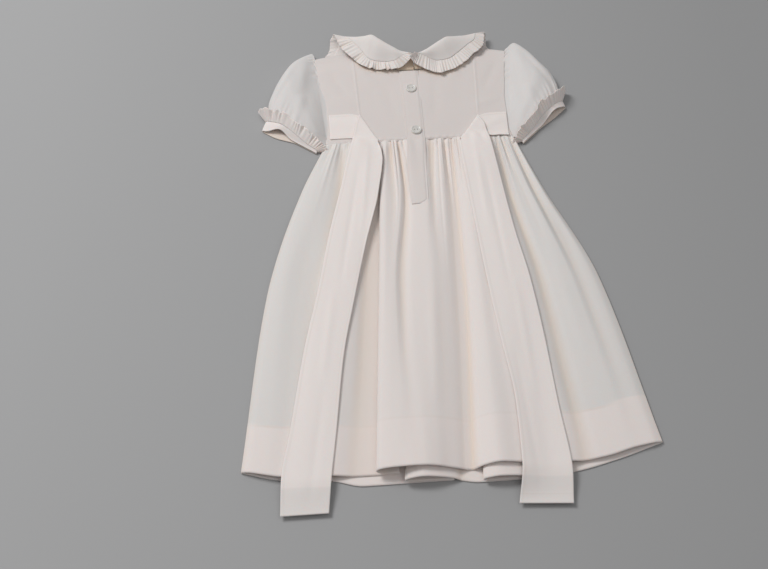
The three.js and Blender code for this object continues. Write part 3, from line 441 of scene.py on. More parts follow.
skirtCreases = [  # x1, y1, x2, y2, width, height
    (-128, -40, -150, -200, 9, 0.7), (-112, -150, -132, -330, 9, -0.7), (-100, -300, -120, -385, 9, -0.5),
    (-70, -150, -88, -330, 6, 0.7), (5, -120, -8, -330, 5, 0.8), (-20, -100, -38, -300, 5, -0.7),
    (52, -60, 54, -260, 4, -0.7), (60, -180, 66, -385, 5, 0.6),
    (110, -90, 140, -280, 6, 0.8), (124, -70, 168, -330, 6, -0.7), (100, -260, 118, -385, 6, 0.6),
]
backGrid, backDowns = backSkirtGrid()
backGrid = creased(backGrid, skirtCreases)
doubled, stitch = hemLook(backGrid, backHem)
west, east = backGrid[:, :1, 0], backGrid[:, -1:, 0]
offMiddle = np.abs(backGrid[..., 0] - 0.5 * (west + east)) / (0.5 * (east - west))
layers = 1 - ease(0.3, 0.75, offMiddle)  # more cloth lies under the middle
foldShade = 0.9 * hollowOf(backGrid, 12, 3.8)
gatherShade = 0.8 * hollowOf(backGrid, 3, 1.1) * (1 - ease(0.05, 0.25, backDowns[:, None]))
backSkirt = wallMesh("back_skirt_cloth", backGrid, skirt["wall"] + skirt["hemRise"] * doubled,
                     extra={"doubled": np.maximum(doubled, 0.8 * layers), "stitch": stitch,
                            "paintedShade": np.maximum(foldShade, gatherShade)})
finishPiece(backSkirt, cotton, "back_skirt")
print("back skirt", len(backSkirt.data.polygons), clothSize(backSkirt))

# The front skirt lies on the table and has two rounded folds at its hem. The lines of the folds are x
# above the folds, x at the hem, height where a fold begins and height at the hem.
hemLines = np.array([
    [-120, -120, 0.5, 0.5], [-75, -78, 0.5, 0.5], [-40, -50, 0.5, 0.5],
    [-34.4, 0.8, 0.5, 0.5], [-33.2, 1.8, 1.5, 1.45], [-32.4, 0.8, 2.6, 2.4],
    [-31.2, -22, 3.8, 2.5], [-28.6, -39.5, 5, 4], [-27, -42, 7, 6.5], [-25, -39.5, 9, 9],
    [-17, -26, 11.5, 12.3], [-6, -9, 9, 8.6], [3, 3, 4, 4], [10, 10, 0.5, 0.5], [18, 22, 0.5, 0.5],
    [24, 44, 0.5, 0.5], [28, 66.8, 0.5, 0.5], [29.4, 67.8, 1.5, 1.45], [30.1, 66.8, 2.6, 2.4],
    [31.2, 46, 3.7, 2.5], [34, 30, 4.7, 3.6], [36, 28, 6.2, 5.6], [38.5, 30, 8, 7.6],
    [46, 43, 10.5, 11], [56, 60, 8.6, 8.6], [66, 72, 4.4, 4.4], [74, 84, 0.5, 0.5], [130, 130, 0.5, 0.5],
])
# Shares of the skirt's length where the folds begin and have risen, and where they turn over.
hemFold = {"from": 0.8, "risen": 0.88, "turnFrom": 0.865, "turned": 0.995, "pointsPerLine": 8}


def frontSkirtGrid():
    start = hemFold["from"]
    downs = steps((0, start, 24), (start, 1, 40))
    leftEdge = smoothCurve(skirtStations, skirtLines[0, :4])
    rightEdge = smoothCurve(skirtStations, skirtLines[-1, :4])
    v = downs[:, None]
    left, right = leftEdge(v), rightEdge(v)
    share = (hemLines[None, :, 0] - leftEdge(start)) / (rightEdge(start) - leftEdge(start))
    risen, folded = ease(start, hemFold["risen"], v), ease(hemFold["turnFrom"], hemFold["turned"], v)
    x = mix(mix(left, right, share), hemLines[None, :, 1], folded)
    z = mix(firstLayer, mix(hemLines[None, :, 2], hemLines[None, :, 3], folded), risen)
    x = np.concatenate([left, x, right], 1)
    z = np.concatenate([0 * left + firstLayer, z, 0 * left + firstLayer], 1)
    rows = np.arange(x.shape[1])
    across = np.linspace(0, len(rows) - 1, hemFold["pointsPerLine"] * (len(rows) - 1) + 1)
    xs, zs = smoothCurve(rows, x.T)(across).T, smoothCurve(rows, z.T)(across).T
    return np.stack([xs, mix(skirt["waist"], frontHem(xs), v), zs], 2)


frontGrid = frontSkirtGrid()
doubled, stitch = hemLook(frontGrid, frontHem)
# Painted shade darkens the hollows of the hem's folds.
frontSkirt = wallMesh("front_skirt_cloth", frontGrid, skirt["wall"] + skirt["hemRise"] * doubled,
                      extra={"doubled": doubled, "stitch": stitch, "paintedShade": 0.8 * hollowOf(frontGrid, 12, 5)})
finishPiece(frontSkirt, cotton, "front_skirt")
print("front skirt", len(frontSkirt.data.polygons), clothSize(frontSkirt))

# The bodice. The back's neckline is flat for neckFlat on each side of the middle. Both necklines rise
# to the shoulder, whose outer end is the tip.
bodice = {"wall": 0.5, "shoulderNeck": 47.5, "shoulderY": 129.3, "tipY": 119, "bottom": -3.2,
          "shoulderShare": 0.55, "backNeckY": 93, "frontNeckY": 99.5, "neckFlat": 7,
          "tuckWidth": 1.5, "tuckSteep": 0.45, "tuckRise": 0.4, "edgeRoll": 1.0, "doubled": 0.35}
sideHeights = [-3.5, 4, 12, 50, 67, 82, 102, 119]
bodiceSides = {  # which way is outwards, and the x of the side edge at each of these heights
    "left": (-1, smoothCurve(sideHeights, [-96.5, -95.6, -93.4, -93, -96.6, -99.6, -102.3, -103.5])),
    "right": (1, smoothCurve(sideHeights, [100.5, 99, 97.8, 97.6, 99.6, 101, 103.4, 106])),
}


def backNeck(x):
    base, flat = bodice["backNeckY"], bodice["neckFlat"]
    share = np.maximum(0, np.abs(x) - flat) / (bodice["shoulderNeck"] - flat)
    return base + (bodice["shoulderY"] - base) * share ** 1.6


def frontNeck(x):
    base = bodice["frontNeckY"]
    return base + (bodice["shoulderY"] - base) * (np.abs(x) / bodice["shoulderNeck"]) ** 2.6


def bodicePlace(side, inner, neck, u, v):
    # u goes from the side to the middle line and v from the waist to the shoulder seam or neckline.
    sign, edge = bodiceSides[side]
    neckX, share = sign * bodice["shoulderNeck"], bodice["shoulderShare"]
    tip, waist = edge(bodice["tipY"]), edge(bodice["bottom"])
    onShoulder, onNeck = np.clip(u / share, 0, 1), np.clip((u - share) / (1 - share), 0, 1)
    topX = np.where(u < share, mix(tip, neckX, onShoulder), mix(neckX, inner, onNeck))
    topY = np.where(u < share, mix(bodice["tipY"], bodice["shoulderY"], onShoulder ** 0.8), neck(topX))
    lean = v ** 1.5
    bow = edge(mix(bodice["bottom"], bodice["tipY"], v)) - mix(waist, tip, lean)
    x = mix(mix(waist, inner, u), topX, lean) + bow * (1 - u) ** 3
    return x, mix(bodice["bottom"], topY, v)


def bodiceHeight(u, v, y):  # from the height of the side edge, by y, to that of the middle, by v
    edge = smoothCurve([0, 12, 32, 95, 125], [secondLayer, 3, 5.4, 5.6, 3.9])(y)
    inner = smoothCurve([0, 0.3, 0.7, 0.9, 1], [5, 6.4, 7.6, 7.4, 6.8])(v)
    shoulder = ease(0.8, 1, v) * (1 - ease(0.5, 0.75, u))
    return mix(mix(edge, inner, 1 - (1 - u) ** 2.5), 3.9, shoulder)


def backBodiceGrid(side, inner, tuckWaistX, tuckTopX, lift):
    u, v = np.linspace(0, 1, 150)[None, :], steps((0, 0.02, 7), (0.02, 1, 105))[:, None]
    x, y = bodicePlace(side, inner, backNeck, u, v)
    tuckX = mix(tuckWaistX, tuckTopX, v)
    sign = bodiceSides[side][0]
    off = (x - tuckX) * sign
    # A tuck lies towards the side: a steep edge on its inner side, a slow one on its outer side.
    tuck = np.where(off < 0, bump(off, 0, bodice["tuckSteep"]), bump(off, 0, bodice["tuckWidth"]))
    tuck = bodice["tuckRise"] * tuck * ease(0.2, 0.3, v) * (1 - ease(0.9, 0.99, v))
    seam = 1 - ease(0, 0.06, v)  # the doubled seam at the waist, pulled in and out by the gathers below
    gathered = 0.35 + 0.3 * uneven(x / 200, 27, 31)
    z = bodiceHeight(u, v, y) + tuck + lift * ease(0.6, 0.95, u) + seam * gathered
    z = z - bodice["edgeRoll"] * (1 - ease(0, 0.02, v))  # the lower edge turns in
    return np.stack([x, y, z], 2)


# Under each collar's rim a warm shadow is painted into the cloth: x and y of the rim.
collarRim = {"left": ([-63, -51, -38.5, -25.5, -13.5, -1.5], [116, 101.5, 96, 94.2, 94.7, 101.4]),
             "right": ([4.5, 17, 30, 45, 60, 71], [98.8, 91.5, 86, 90.3, 101.5, 113.5])}


def rimShade(grid, side, shade=0.5, width=4.0):
    x, y = grid[..., 0], grid[..., 1]
    west, east = collarRim[side][0][0], collarRim[side][0][-1]
    band = shade * bump(y, smoothCurve(*collarRim[side])(x), width)
    return band * ease(west - 2, west + 6, x) * ease(east + 2, east - 6, x)


# Each back: x of its inner edge, x of its tuck at the waist and at the top, and its lift over the lap.
backShapes = {"left": (6.2, -57, -62, 0), "right": (6.8, 65, 71, 0.15)}
backCreases = {
    "left": [(-90, 100, -70, 60, 5, -0.5), (-60, 110, -40, 70, 6, 0.5), (-30, 80, -20, 20, 6, -0.4),
             (-88, 60, -60, 45, 5, 0.5)],
    "right": [(95, 105, 75, 60, 5, -0.5), (60, 112, 40, 75, 6, 0.5), (25, 85, 20, 20, 6, -0.4),
              (92, 50, 60, 38, 5, 0.5)],
}
backGrids = [backGrid]
for side in sides:
    grid = creased(backBodiceGrid(side, *backShapes[side]), backCreases[side])
    # Painted shade in the creases, and painted shadow under the collar's rim.
    paintedShade = np.maximum(0.5 * hollowOf(grid, 4, 1.2), rimShade(grid, side))
    piece = wallMesh("back_" + side + "_cloth", grid, bodice["wall"],
                     extra={"doubled": bodice["doubled"], "paintedShade": paintedShade})
    finishPiece(piece, shadedBodiceCotton, "back_bodice_" + side)
    backGrids.append(grid)
    print("back", side, clothSize(piece))


def frontBodiceGrid():
    u, v = np.linspace(0, 1, 70)[None, :], np.linspace(0, 1, 60)[:, None]
    left = np.stack(bodicePlace("left", 0, frontNeck, u, v), 2)
    right = np.stack(bodicePlace("right", 0, frontNeck, u, v), 2)
    flat = np.concatenate([left, right[:, ::-1][:, 1:]], 1)
    return np.concatenate([flat, mix(firstLayer, 2.4, ease(26, 42, flat[..., 1:]))], 2)


frontBodice = wallMesh("front_bodice_cloth", frontBodiceGrid(), bodice["wall"])
finishPiece(frontBodice, cotton, "front_bodice")
print("bodice", clothSize(frontBodice))

# The button band, which runs on below the waist as the placket, where it is thinner. Past neckY it is
# as high as there, and its right edge sinks into the cloth that it is one with.
band = {"wall": 0.5, "thinWall": 0.3, "clear": 0.08, "neckY": 85, "stitchIn": 1.6, "stitchWidth": 0.5,
        "grooveDepth": 0.12, "edgeSunk": 0.65}
bandEdges = np.array([  # y, left x, right x
    [92.6, -12.5, 8.1], [40, -11.5, 8.1], [-3, -11.5, 8.1], [-45, -14, 6], [-86, -13.2, 5],
    [-91.5, -12.6, -2.5],
])
underBand = coverOf(backGrids, 3, bodice["wall"], 1.0)


def bandGrid():
    t, across = np.linspace(0, 1, 160)[:, None], np.linspace(0, 1, 32)[None, :]
    y = mix(bandEdges[0, 0], bandEdges[-1, 0], t)
    left = smoothCurve(-bandEdges[:, 0], bandEdges[:, 1])(-y)
    right = smoothCurve(-bandEdges[:, 0], bandEdges[:, 2])(-y)
    x = mix(left, right, across)
    y = y + 0 * x
    wall = mix(band["wall"], band["thinWall"], ease(0, 10, -y))
    z = underBand(x, np.minimum(y, band["neckY"])) + wall / 2 + band["clear"]
    # Two rows of stitching press the band down a little inside its edges.
    groove = sum(bump(inside, band["stitchIn"], band["stitchWidth"]) for inside in (x - left, right - x))
    sunk = band["edgeSunk"] * ease(4.0, 0.3, right - x)
    z = z - band["grooveDepth"] * groove - sunk
    return np.stack([x, y, z], 2), wall, np.clip(groove, 0, 1) * (x - left < 4)


bandSurface, bandWall, bandStitch = bandGrid()
bandPiece = wallMesh("button_band_cloth", bandSurface, bandWall,
                     extra={"doubled": 0.6, "stitch": 0.2 * bandStitch})
finishPiece(bandPiece, shadedBodiceCotton, "button_band")
print("band", clothSize(bandPiece))

# The two buttons. The profile is radius and height: flat below, rounded at the edge, then a rim round a
# shallow dish.
button = {"holeRadius": 0.75, "holeApart": 3.2, "holeDepth": 1.3, "around": 72, "sunk": 0.5}
buttonProfile = np.array([
    [0.02, 0], [2.5, 0], [5.2, 0], [5.6, 0.35], [5.7, 0.9], [5.6, 1.5], [5.25, 2.0], [4.9, 2.2], [4.6, 2.15],
    [4.2, 1.75], [3.6, 1.62], [3.0, 1.58],
    *[[radius, 1.57] for radius in (2.7, 2.4, 2.1, 1.8, 1.5, 1.2, 0.9, 0.6, 0.3, 0.02)],
])


def buttonMaterial():
    material = emptyMaterial("shell button")
    made = joinNodes(material.node_tree, [
        ("place", "ShaderNodeTexCoord", {}, {}),
        noiseRow("clouds", 260.0, Detail=3.0, Distortion=0.8),
        ("tones", "ShaderNodeValToRGB", {}, {"Fac": ("clouds", "Fac")}),
        ("shell", "ShaderNodeBsdfPrincipled",
         {"Roughness": 0.35, "Coat Weight": 0.08, "Coat Roughness": 0.15, "Subsurface Weight": 0.35,
          "Subsurface Radius": (0.003, 0.003, 0.0025), "Subsurface Scale": 0.6},
         {"Base Color": ("tones", "Color")}),
        ("out", "ShaderNodeOutputMaterial", {}, {"Surface": ("shell", "BSDF")}),
    ])
    made["tones"].color_ramp.elements[0].color = (0.62, 0.60, 0.57, 1)
    made["tones"].color_ramp.elements[1].color = (0.80, 0.78, 0.75, 1)
    return material


def buttonMesh(name, spot, base):
    # A lathed disc on a polar grid, with two holes sunk into it.
    turn = np.linspace(0, 2 * np.pi, button["around"], endpoint=False)[None, :]
    radius, height = buttonProfile[:, :1], buttonProfile[:, 1:]
    x, y = radius * np.cos(turn), radius * np.sin(turn)
    z = height + 0 * x
    for side in (-1, 1):
        away = np.hypot(x - side * button["holeApart"] / 2, y)
        inHole = 1 - ease(button["holeRadius"] - 0.3, button["holeRadius"] + 0.1, away)
        z = z - np.where(height > 1.5, button["holeDepth"] * inHole, 0)
    grid = np.stack([x + spot[0], y + spot[1], z + base], 2)
    rows, cols = grid.shape[:2]
    points = (grid.reshape(-1, 3) + shift) / 1000
    index = np.arange(rows * cols).reshape(rows, cols)
    right = np.roll(index, -1, 1)
    faces = np.stack([index[:-1], index[1:], right[1:], right[:-1]], 2).reshape(-1, 4).tolist()
    faces += [index[0].tolist(), index[-1, ::-1].tolist()]
    mesh = bpy.data.meshes.new(name)
    mesh.from_pydata(points.tolist(), [], faces)
    mesh.polygons.foreach_set("use_smooth", np.ones(len(mesh.polygons), bool))
    mesh.update()
    return addObject(name, mesh)


shell = buttonMaterial()
onBand = coverOf([bandSurface], 4, band["wall"])
for node, spot in buttonSpots.items():
    base = float(onBand(np.array(spot[0]), np.array(spot[1]))) - button["sunk"]
    piece = buttonMesh(node + "_shell", spot, base)
    finishPiece(piece, shell, node)
print("buttons")

# The sashes: a belt from the side seam, a fold of radius turn, and a tie that hangs past the hem, where
# its end lies at endHeight. The cloth below is read no further than readTo.
sash = {"wall": 0.5, "clear": 0.6, "beltClear": 0.12, "turn": 1.1, "endHeight": 4, "readTo": -383,
        "endSpan": (-428, -393), "seamIn": 2.6, "endSeamIn": 9.2, "stitchWidth": 0.5, "hemRise": 0.25,
        "sideHem": (2.2, 3.0), "endHem": (9, 10), "singleEnd": (24, 26), "singleShade": 0.55}
# A section of the strip on each row: edge A (x, y), then edge B (x, y).
sashParts = {
    "left": {
        "belt": [[-91.5, 35.5, -91.5, 4], [-80, 35.5, -76, 3.5], [-68, 35, -58, 1], [-60.8, 32.5, -44, -3]],
        "fold": [-58.6, 32, -41, -4],
        "tie": [[-60.4, 29.5, -41.8, -6.5], [-62.5, 23, -40, -14], [-68, 0, -38.5, -30], [-81, -57, -46, -78],
                [-98, -126, -62, -139], [-111, -190, -77, -205], [-127, -258, -90, -267],
                [-143, -345, -101, -350], [-152, -391, -107, -393], [-154, -427.5, -111, -427]],
    },
    "right": {
        "belt": [[97, 28.5, 97, -2], [88, 28.5, 84, -2.5], [76, 27.5, 62, -4], [68.2, 25, 47, -7]],
        "fold": [66, 24.5, 44, -8],
        "tie": [[68, 21.5, 44.8, -10.5], [71.5, 15, 43, -17], [75, -7, 43, -30], [80, -58, 45, -66],
                [87, -128, 49, -132], [95.5, -190, 53, -195], [100.5, -255, 58.5, -262],
                [104, -330, 64.5, -330], [108, -392, 63, -392], [105, -431, 57, -428]],
    },
}


def sashGrid(parts, cover, near):
    belt, fold, tie = (np.array(parts[key], float) for key in ("belt", "fold", "tie"))
    side = np.sign(fold[0])
    beltAt, tieAt = smoothCurve(np.arange(len(belt)), belt), smoothCurve(np.arange(len(tie)), tie)
    along = (fold[2:] - fold[:2]) / np.hypot(*(fold[2:] - fold[:2]))
    out = np.array([-side * abs(along[1]), abs(along[0])])
    angle = np.linspace(-0.42, 0.42, 9) * np.pi
    pull = sash["turn"] * (np.cos(angle) - 1)
    turned = fold + np.concatenate([out, out])[None, :] * pull[:, None]
    beltSteps = np.linspace(0, 3, 40)
    tieSteps = steps((0, 3, 60), (3, len(tie) - 1, 170))
    sections = np.concatenate([beltAt(beltSteps), turned, tieAt(tieSteps)])
    lift = np.concatenate([0 * beltSteps, sash["turn"] * (1 + np.sin(angle)),
                           2 * sash["turn"] * (1 - ease(2.4, 3.6, tieSteps))])
    across = np.linspace(0, 1, 44)[None, :]
    x = mix(sections[:, 0:1], sections[:, 2:3], across)
    y = mix(sections[:, 1:2], sections[:, 3:4], across)
    past = 1 - ease(*sash["endSpan"], y)
    low = np.maximum(y, sash["readTo"])
    z = mix(cover(x, low) + sash["clear"], near(x, low) + sash["beltClear"], ease(-25, 5, y))
    z = mix(z + sash["wall"] / 2, sash["endHeight"], past) + lift[:, None]
    return np.stack([x, y, z], 2), across


underSash = coverOf([*backGrids, frontGrid], 8, bodice["wall"])
underBelt = underBand  # read as closely as below the band
sashCreases = {
    "left": [(-52, -10, -66, -130, 3, 0.6), (-62, -30, -90, -190, 3, -0.6), (-96, -190, -112, -300, 4, 0.6),
             (-110, -300, -128, -420, 4, -0.5), (-88, 30, -60, 12, 4, 0.5)],
    "right": [(58, -10, 62, -130, 3, 0.6), (66, -40, 74, -200, 3, -0.6), (80, -190, 84, -330, 4, 0.6),
              (70, -260, 78, -420, 4, -0.5), (94, 22, 66, 8, 4, 0.5)],
}
for side, parts in sashParts.items():
    grid, across = sashGrid(parts, underSash, underBelt)
    grid = creased(grid, sashCreases[side])
    wide = np.linalg.norm(grid[:, -1] - grid[:, 0], axis=1)[:, None]
    fromEdge = np.minimum(across, 1 - across) * wide
    run = np.concatenate([[0], np.linalg.norm(np.diff(grid.mean(1), axis=0), axis=1).cumsum()])
    fromEnd = (run[-1] - run)[:, None]
    hem = np.maximum(1 - ease(*sash["sideHem"], fromEdge), 1 - ease(*sash["endHem"], fromEnd))
    doubled = 1.0 - sash["singleShade"] * (1 - ease(*sash["singleEnd"], fromEnd))
    stitch = np.maximum(bump(fromEdge, sash["seamIn"], sash["stitchWidth"]),
                        bump(fromEnd, sash["endSeamIn"], sash["stitchWidth"]))
    piece = wallMesh("sash_" + side + "_cloth", grid, sash["wall"] + sash["hemRise"] * hem,
                     extra={"doubled": doubled, "stitch": 0.25 * stitch})
    finishPiece(piece, litTieCotton, "sash_" + side)
    print("sash", side, clothSize(piece), run[-1])

# The sleeves, the cuffs and their ruffles. A sleeve is sewn to the back's edge, whose height is seamZ
# at seamY, and reaches its full height at slope from there.
sleeve = {"wall": 0.45, "endRise": 0.9, "stations": 66, "gatherHeight": 0.85, "slope": 36, "floor": 0.3,
          "seamY": [0, 12, 32, 95, 119], "seamZ": [1.8, 3, 5.4, 5.6, 3.9], "capGathers": 13, "cuffGathers": 15}
# Rings: shoulder end x and y, underarm end x and y, height of the top over the floor, floor height.
sleeveRings = {
    "left": [[-104.6, 119, -94.4, 12, 5.2, 0.5], [-106.5, 129, -95.6, 5.5, 11.5, 0.5],
             [-114.5, 125.5, -96, 1, 17, 0.5], [-127, 115.5, -96.8, -1.5, 20, 0.5],
             [-139, 96.5, -98, -3, 21, 0.7], [-149.5, 73, -99.8, -4, 18, 1.5],
             [-155.3, 52, -102.7, -4.3, 13.5, 2.3], [-155.5, 37, -103, -5.2, 9.5, 2.3]],
    "right": [[107.2, 119, 99, 12, 5.2, 0.5], [110.5, 126, 99.2, 4.5, 11.5, 0.5],
              [117, 131, 99.8, 0.5, 17, 0.5], [129, 118.5, 100.8, -2, 20, 0.5],
              [141, 97.5, 102, -3, 21, 0.7], [151.5, 80, 103.6, -3.6, 18, 1.5],
              [156.5, 60, 105.8, -3.6, 13.5, 2.3], [157.5, 45, 106.2, -4.6, 9.5, 2.3]],
}
cuffRings = {
    "left": [[-155.8, 36.2, -103.4, -5.8, 9.3, 2.3], [-158, 31, -105.4, -9.5, 9.5, 1.6],
             [-159, 26.5, -107, -12.6, 10.5, 0.5]],
    "right": [[157.9, 44.2, 106.7, -5.2, 9.3, 2.3], [159, 39.5, 109, -9.2, 8.5, 1.6],
              [159.6, 35.5, 111, -12.6, 7, 0.5]],
}


def turnsOf(top, below):
    # Turns of a ring in degrees: even steps on its top half, then below steps that lie closer together
    # towards the ends, as the cosine does.
    under = 180 + 180 * (1 - np.cos(np.linspace(0, np.pi, below, endpoint=False))) / 2
    return np.concatenate([np.linspace(0, 180, top, endpoint=False), under])


topTurns = 110
ringTurns = turnsOf(topTurns, 40)


def ringPoint(ring, turn, grow=0.0):
    # Ring of a sleeve that lies down: the cosine of the turn goes along it, and the top half rises by
    # the sine to the power of 0.75. The lower half lies on its floor, with a small fold at each end.
    angle = np.radians(turn)
    outX, outY, inX, inY, puff, floor = np.moveaxis(ring, -1, 0)
    reachX, reachY = (outX - inX) / 2, (outY - inY) / 2
    along = np.cos(angle) * (1 + grow / np.hypot(reachX, reachY))
    up = np.sin(angle)
    top = floor + sleeve["endRise"] + (puff - sleeve["endRise"] + grow) * np.maximum(up, 0) ** 0.75
    sink = np.minimum(grow, floor - 0.6)
    below = floor - sink + (sleeve["endRise"] + sink) * (1 - np.abs(up)) ** 8
    x, y = (outX + inX) / 2 + reachX * along, (outY + inY) / 2 + reachY * along
    return np.stack([x, y, np.where(up < -1e-6, below, top)], -1)


def sleeveGrid(side):
    rings = np.array(sleeveRings[side])
    sign, edge = bodiceSides[side]
    capSeed, cuffSeed = (3, 5) if side == "left" else (4, 6)
    at = np.linspace(0, len(rings) - 1, sleeve["stations"])[:, None]
    ring = smoothCurve(np.arange(len(rings)), rings)(at)
    turn = ringTurns[None, :]
    grid = ringPoint(ring, turn)
    outX, outY, inX, inY = np.moveaxis(ring[..., :4], -1, 0)
    chord = mix(outX, inX, (outY - grid[..., 1]) / (outY - inY))
    armhole = edge(grid[..., 1]) + sign * np.where(turn < 180, -0.5, 0.3)
    grid[..., 0] += (armhole - chord) * (1 - ease(0, 1, at))
    seam = smoothCurve(sleeve["seamY"], sleeve["seamZ"])(grid[..., 1])
    onTop = np.maximum(0, np.sin(np.radians(turn)))
    far = np.clip(np.abs(grid[..., 0] - armhole) / sleeve["slope"], 0, 1)
    puff = grid[..., 2] * (1 - 0.22 * onTop ** 4 * ease(0, 2, at) * (1 - ease(5, 7, at)))
    grid[..., 2] = np.where(turn < 180, mix(seam - 0.5, puff, 1 - (1 - far) ** 1.7), grid[..., 2])
    t = turn / 180
    cap = ease(0, 0.25, at) * (1 - ease(0.6, 2.4, at)) * uneven(t, sleeve["capGathers"], capSeed)
    low = ease(4.6, 6.0, at) * (1 - 0.7 * ease(6.3, 7, at)) * uneven(t, sleeve["cuffGathers"], cuffSeed)
    cap = cap * ease(-0.1, 0.6, np.cos(np.radians(turn)))
    low = low * np.where(sign < 0, 0.4, 0.5 + 0.5 * np.cos(np.radians(turn)))
    grid[..., 2] += sleeve["gatherHeight"] * onTop * (cap + low)
    return grid


# How a cuff's mouth lies: its arch pulled back by, its lip pushed out by, the arch's place along the
# ring (1 is the shoulder end), its width and its height, and the height elsewhere.
cuffMouth = {"left": (4.5, 6.0, 0.5, 0.3, 6.0, 1.6), "right": (3.0, 2.5, 0.62, 0.4, 6.0, 2.2)}
cuff = {"wall": 0.8, "rows": 18, "insideShade": 0.45}


def cuffPoint(side, down, turn, grow=0.0):
    # A point of the cuff's rings, from 0 at the seam to 2 at the mouth. The top half sinks onto the
    # lower one except under its arch, and the lip at the shoulder end comes forward.
    back, forward, place, width, arch, low = cuffMouth[side]
    ring = smoothCurve([0, 1, 2], np.array(cuffRings[side]))(down)
    point = ringPoint(ring, turn, grow)
    angle = np.radians(turn)
    up, along, share = np.maximum(0, np.sin(angle)), np.cos(angle), down / 2
    hill = bump(along, place, width)
    flat = ring[..., 5] + sleeve["endRise"] + (low + arch * hill) * up ** 0.4 - 0.4 * up + grow
    point[..., 2] = np.where(up > 0, mix(point[..., 2], flat, ease(0, 1, share) ** 0.8), point[..., 2])
    reach = ring[..., :2] - ring[..., 2:4]
    armWay = np.stack([-reach[..., 1], reach[..., 0]], -1)
    armWay = unit(armWay) * np.where(armWay[..., 1:] < 0, -1, 1)
    lip = np.where(up > 0, ease(0.1, 0.95, along), ease(-0.3, 0.6, along))
    point[..., :2] += armWay * (share * (back * hill * up ** 0.5 - forward * lip))[..., None]
    return point


sleeveCreases = {
    "left": [(-112, 118, -122, 60, 5, 1.0), (-120, 112, -138, 70, 5, -0.7), (-108, 90, -116, 30, 5, -0.4),
             (-128, 100, -148, 58, 4, 1.0), (-118, 60, -128, 20, 5, 1.0), (-135, 80, -150, 45, 4, -0.9)],
    "right": [(114, 122, 124, 62, 5, 1.2), (122, 116, 140, 72, 5, -1.2), (110, 90, 118, 30, 5, -1.0),
              (130, 104, 150, 64, 4, 1.0), (120, 60, 130, 22, 5, 1.0), (137, 84, 152, 50, 4, -0.9)],
}
for side in sides:
    grid = creased(sleeveGrid(side), sleeveCreases[side], ring=True)
    grid[:, topTurns:, 2] = np.maximum(grid[:, topTurns:, 2], sleeve["floor"])
    # Painted shade in the sleeve's hollows.
    paintedShade = 0.35 * hollowOf(grid, 4, 1.5, ring=True)
    piece = wallMesh("sleeve_" + side + "_cloth", grid, sleeve["wall"], ring=True,
                     extra={"paintedShade": paintedShade, "doubled": 0.0})
    finishPiece(piece, shadedSleeveCotton, "sleeve_" + side)
    print("sleeve", side, clothSize(piece))
    downs = np.linspace(0, 2, cuff["rows"])[:, None] + 0 * ringTurns[None, :]
    grid = cuffPoint(side, downs, ringTurns[None, :])
    # Painted shade on the cuff's lower half, seen inside the mouth.
    inside = cuff["insideShade"] * np.where(ringTurns > 180, 1.0, 0.0)
    piece = wallMesh("cuff_" + side + "_cloth", grid, cuff["wall"], ring=True,
                     extra={"doubled": 1.0, "paintedShade": inside})
    finishPiece(piece, litTieCotton, "cuff_" + side)
    print("cuff", side, clothSize(piece))

# The ruffles. The cuff's starts at cuffFrom of the cuff's rings, at cuffInner at the underarm end, and
# leans by cuffLean degrees, less and then more towards the shoulder end.
ruffle = {"wall": 0.35, "cuffWide": 12.5, "cuffWaves": 24, "cuffWave": 0.8, "cuffSwing": 1.3,
          "cuffFrom": 0.55, "cuffInner": 1.3, "perWave": 14, "floor": 0.35, "collarWall": 0.4,
          "waves": {"left": (8.5, 2.3), "right": (7, 0.9)}, "fineWaves": 33, "fineWave": 0.6}
cuffLean = {"left": (48, 62), "right": (51, 60)}


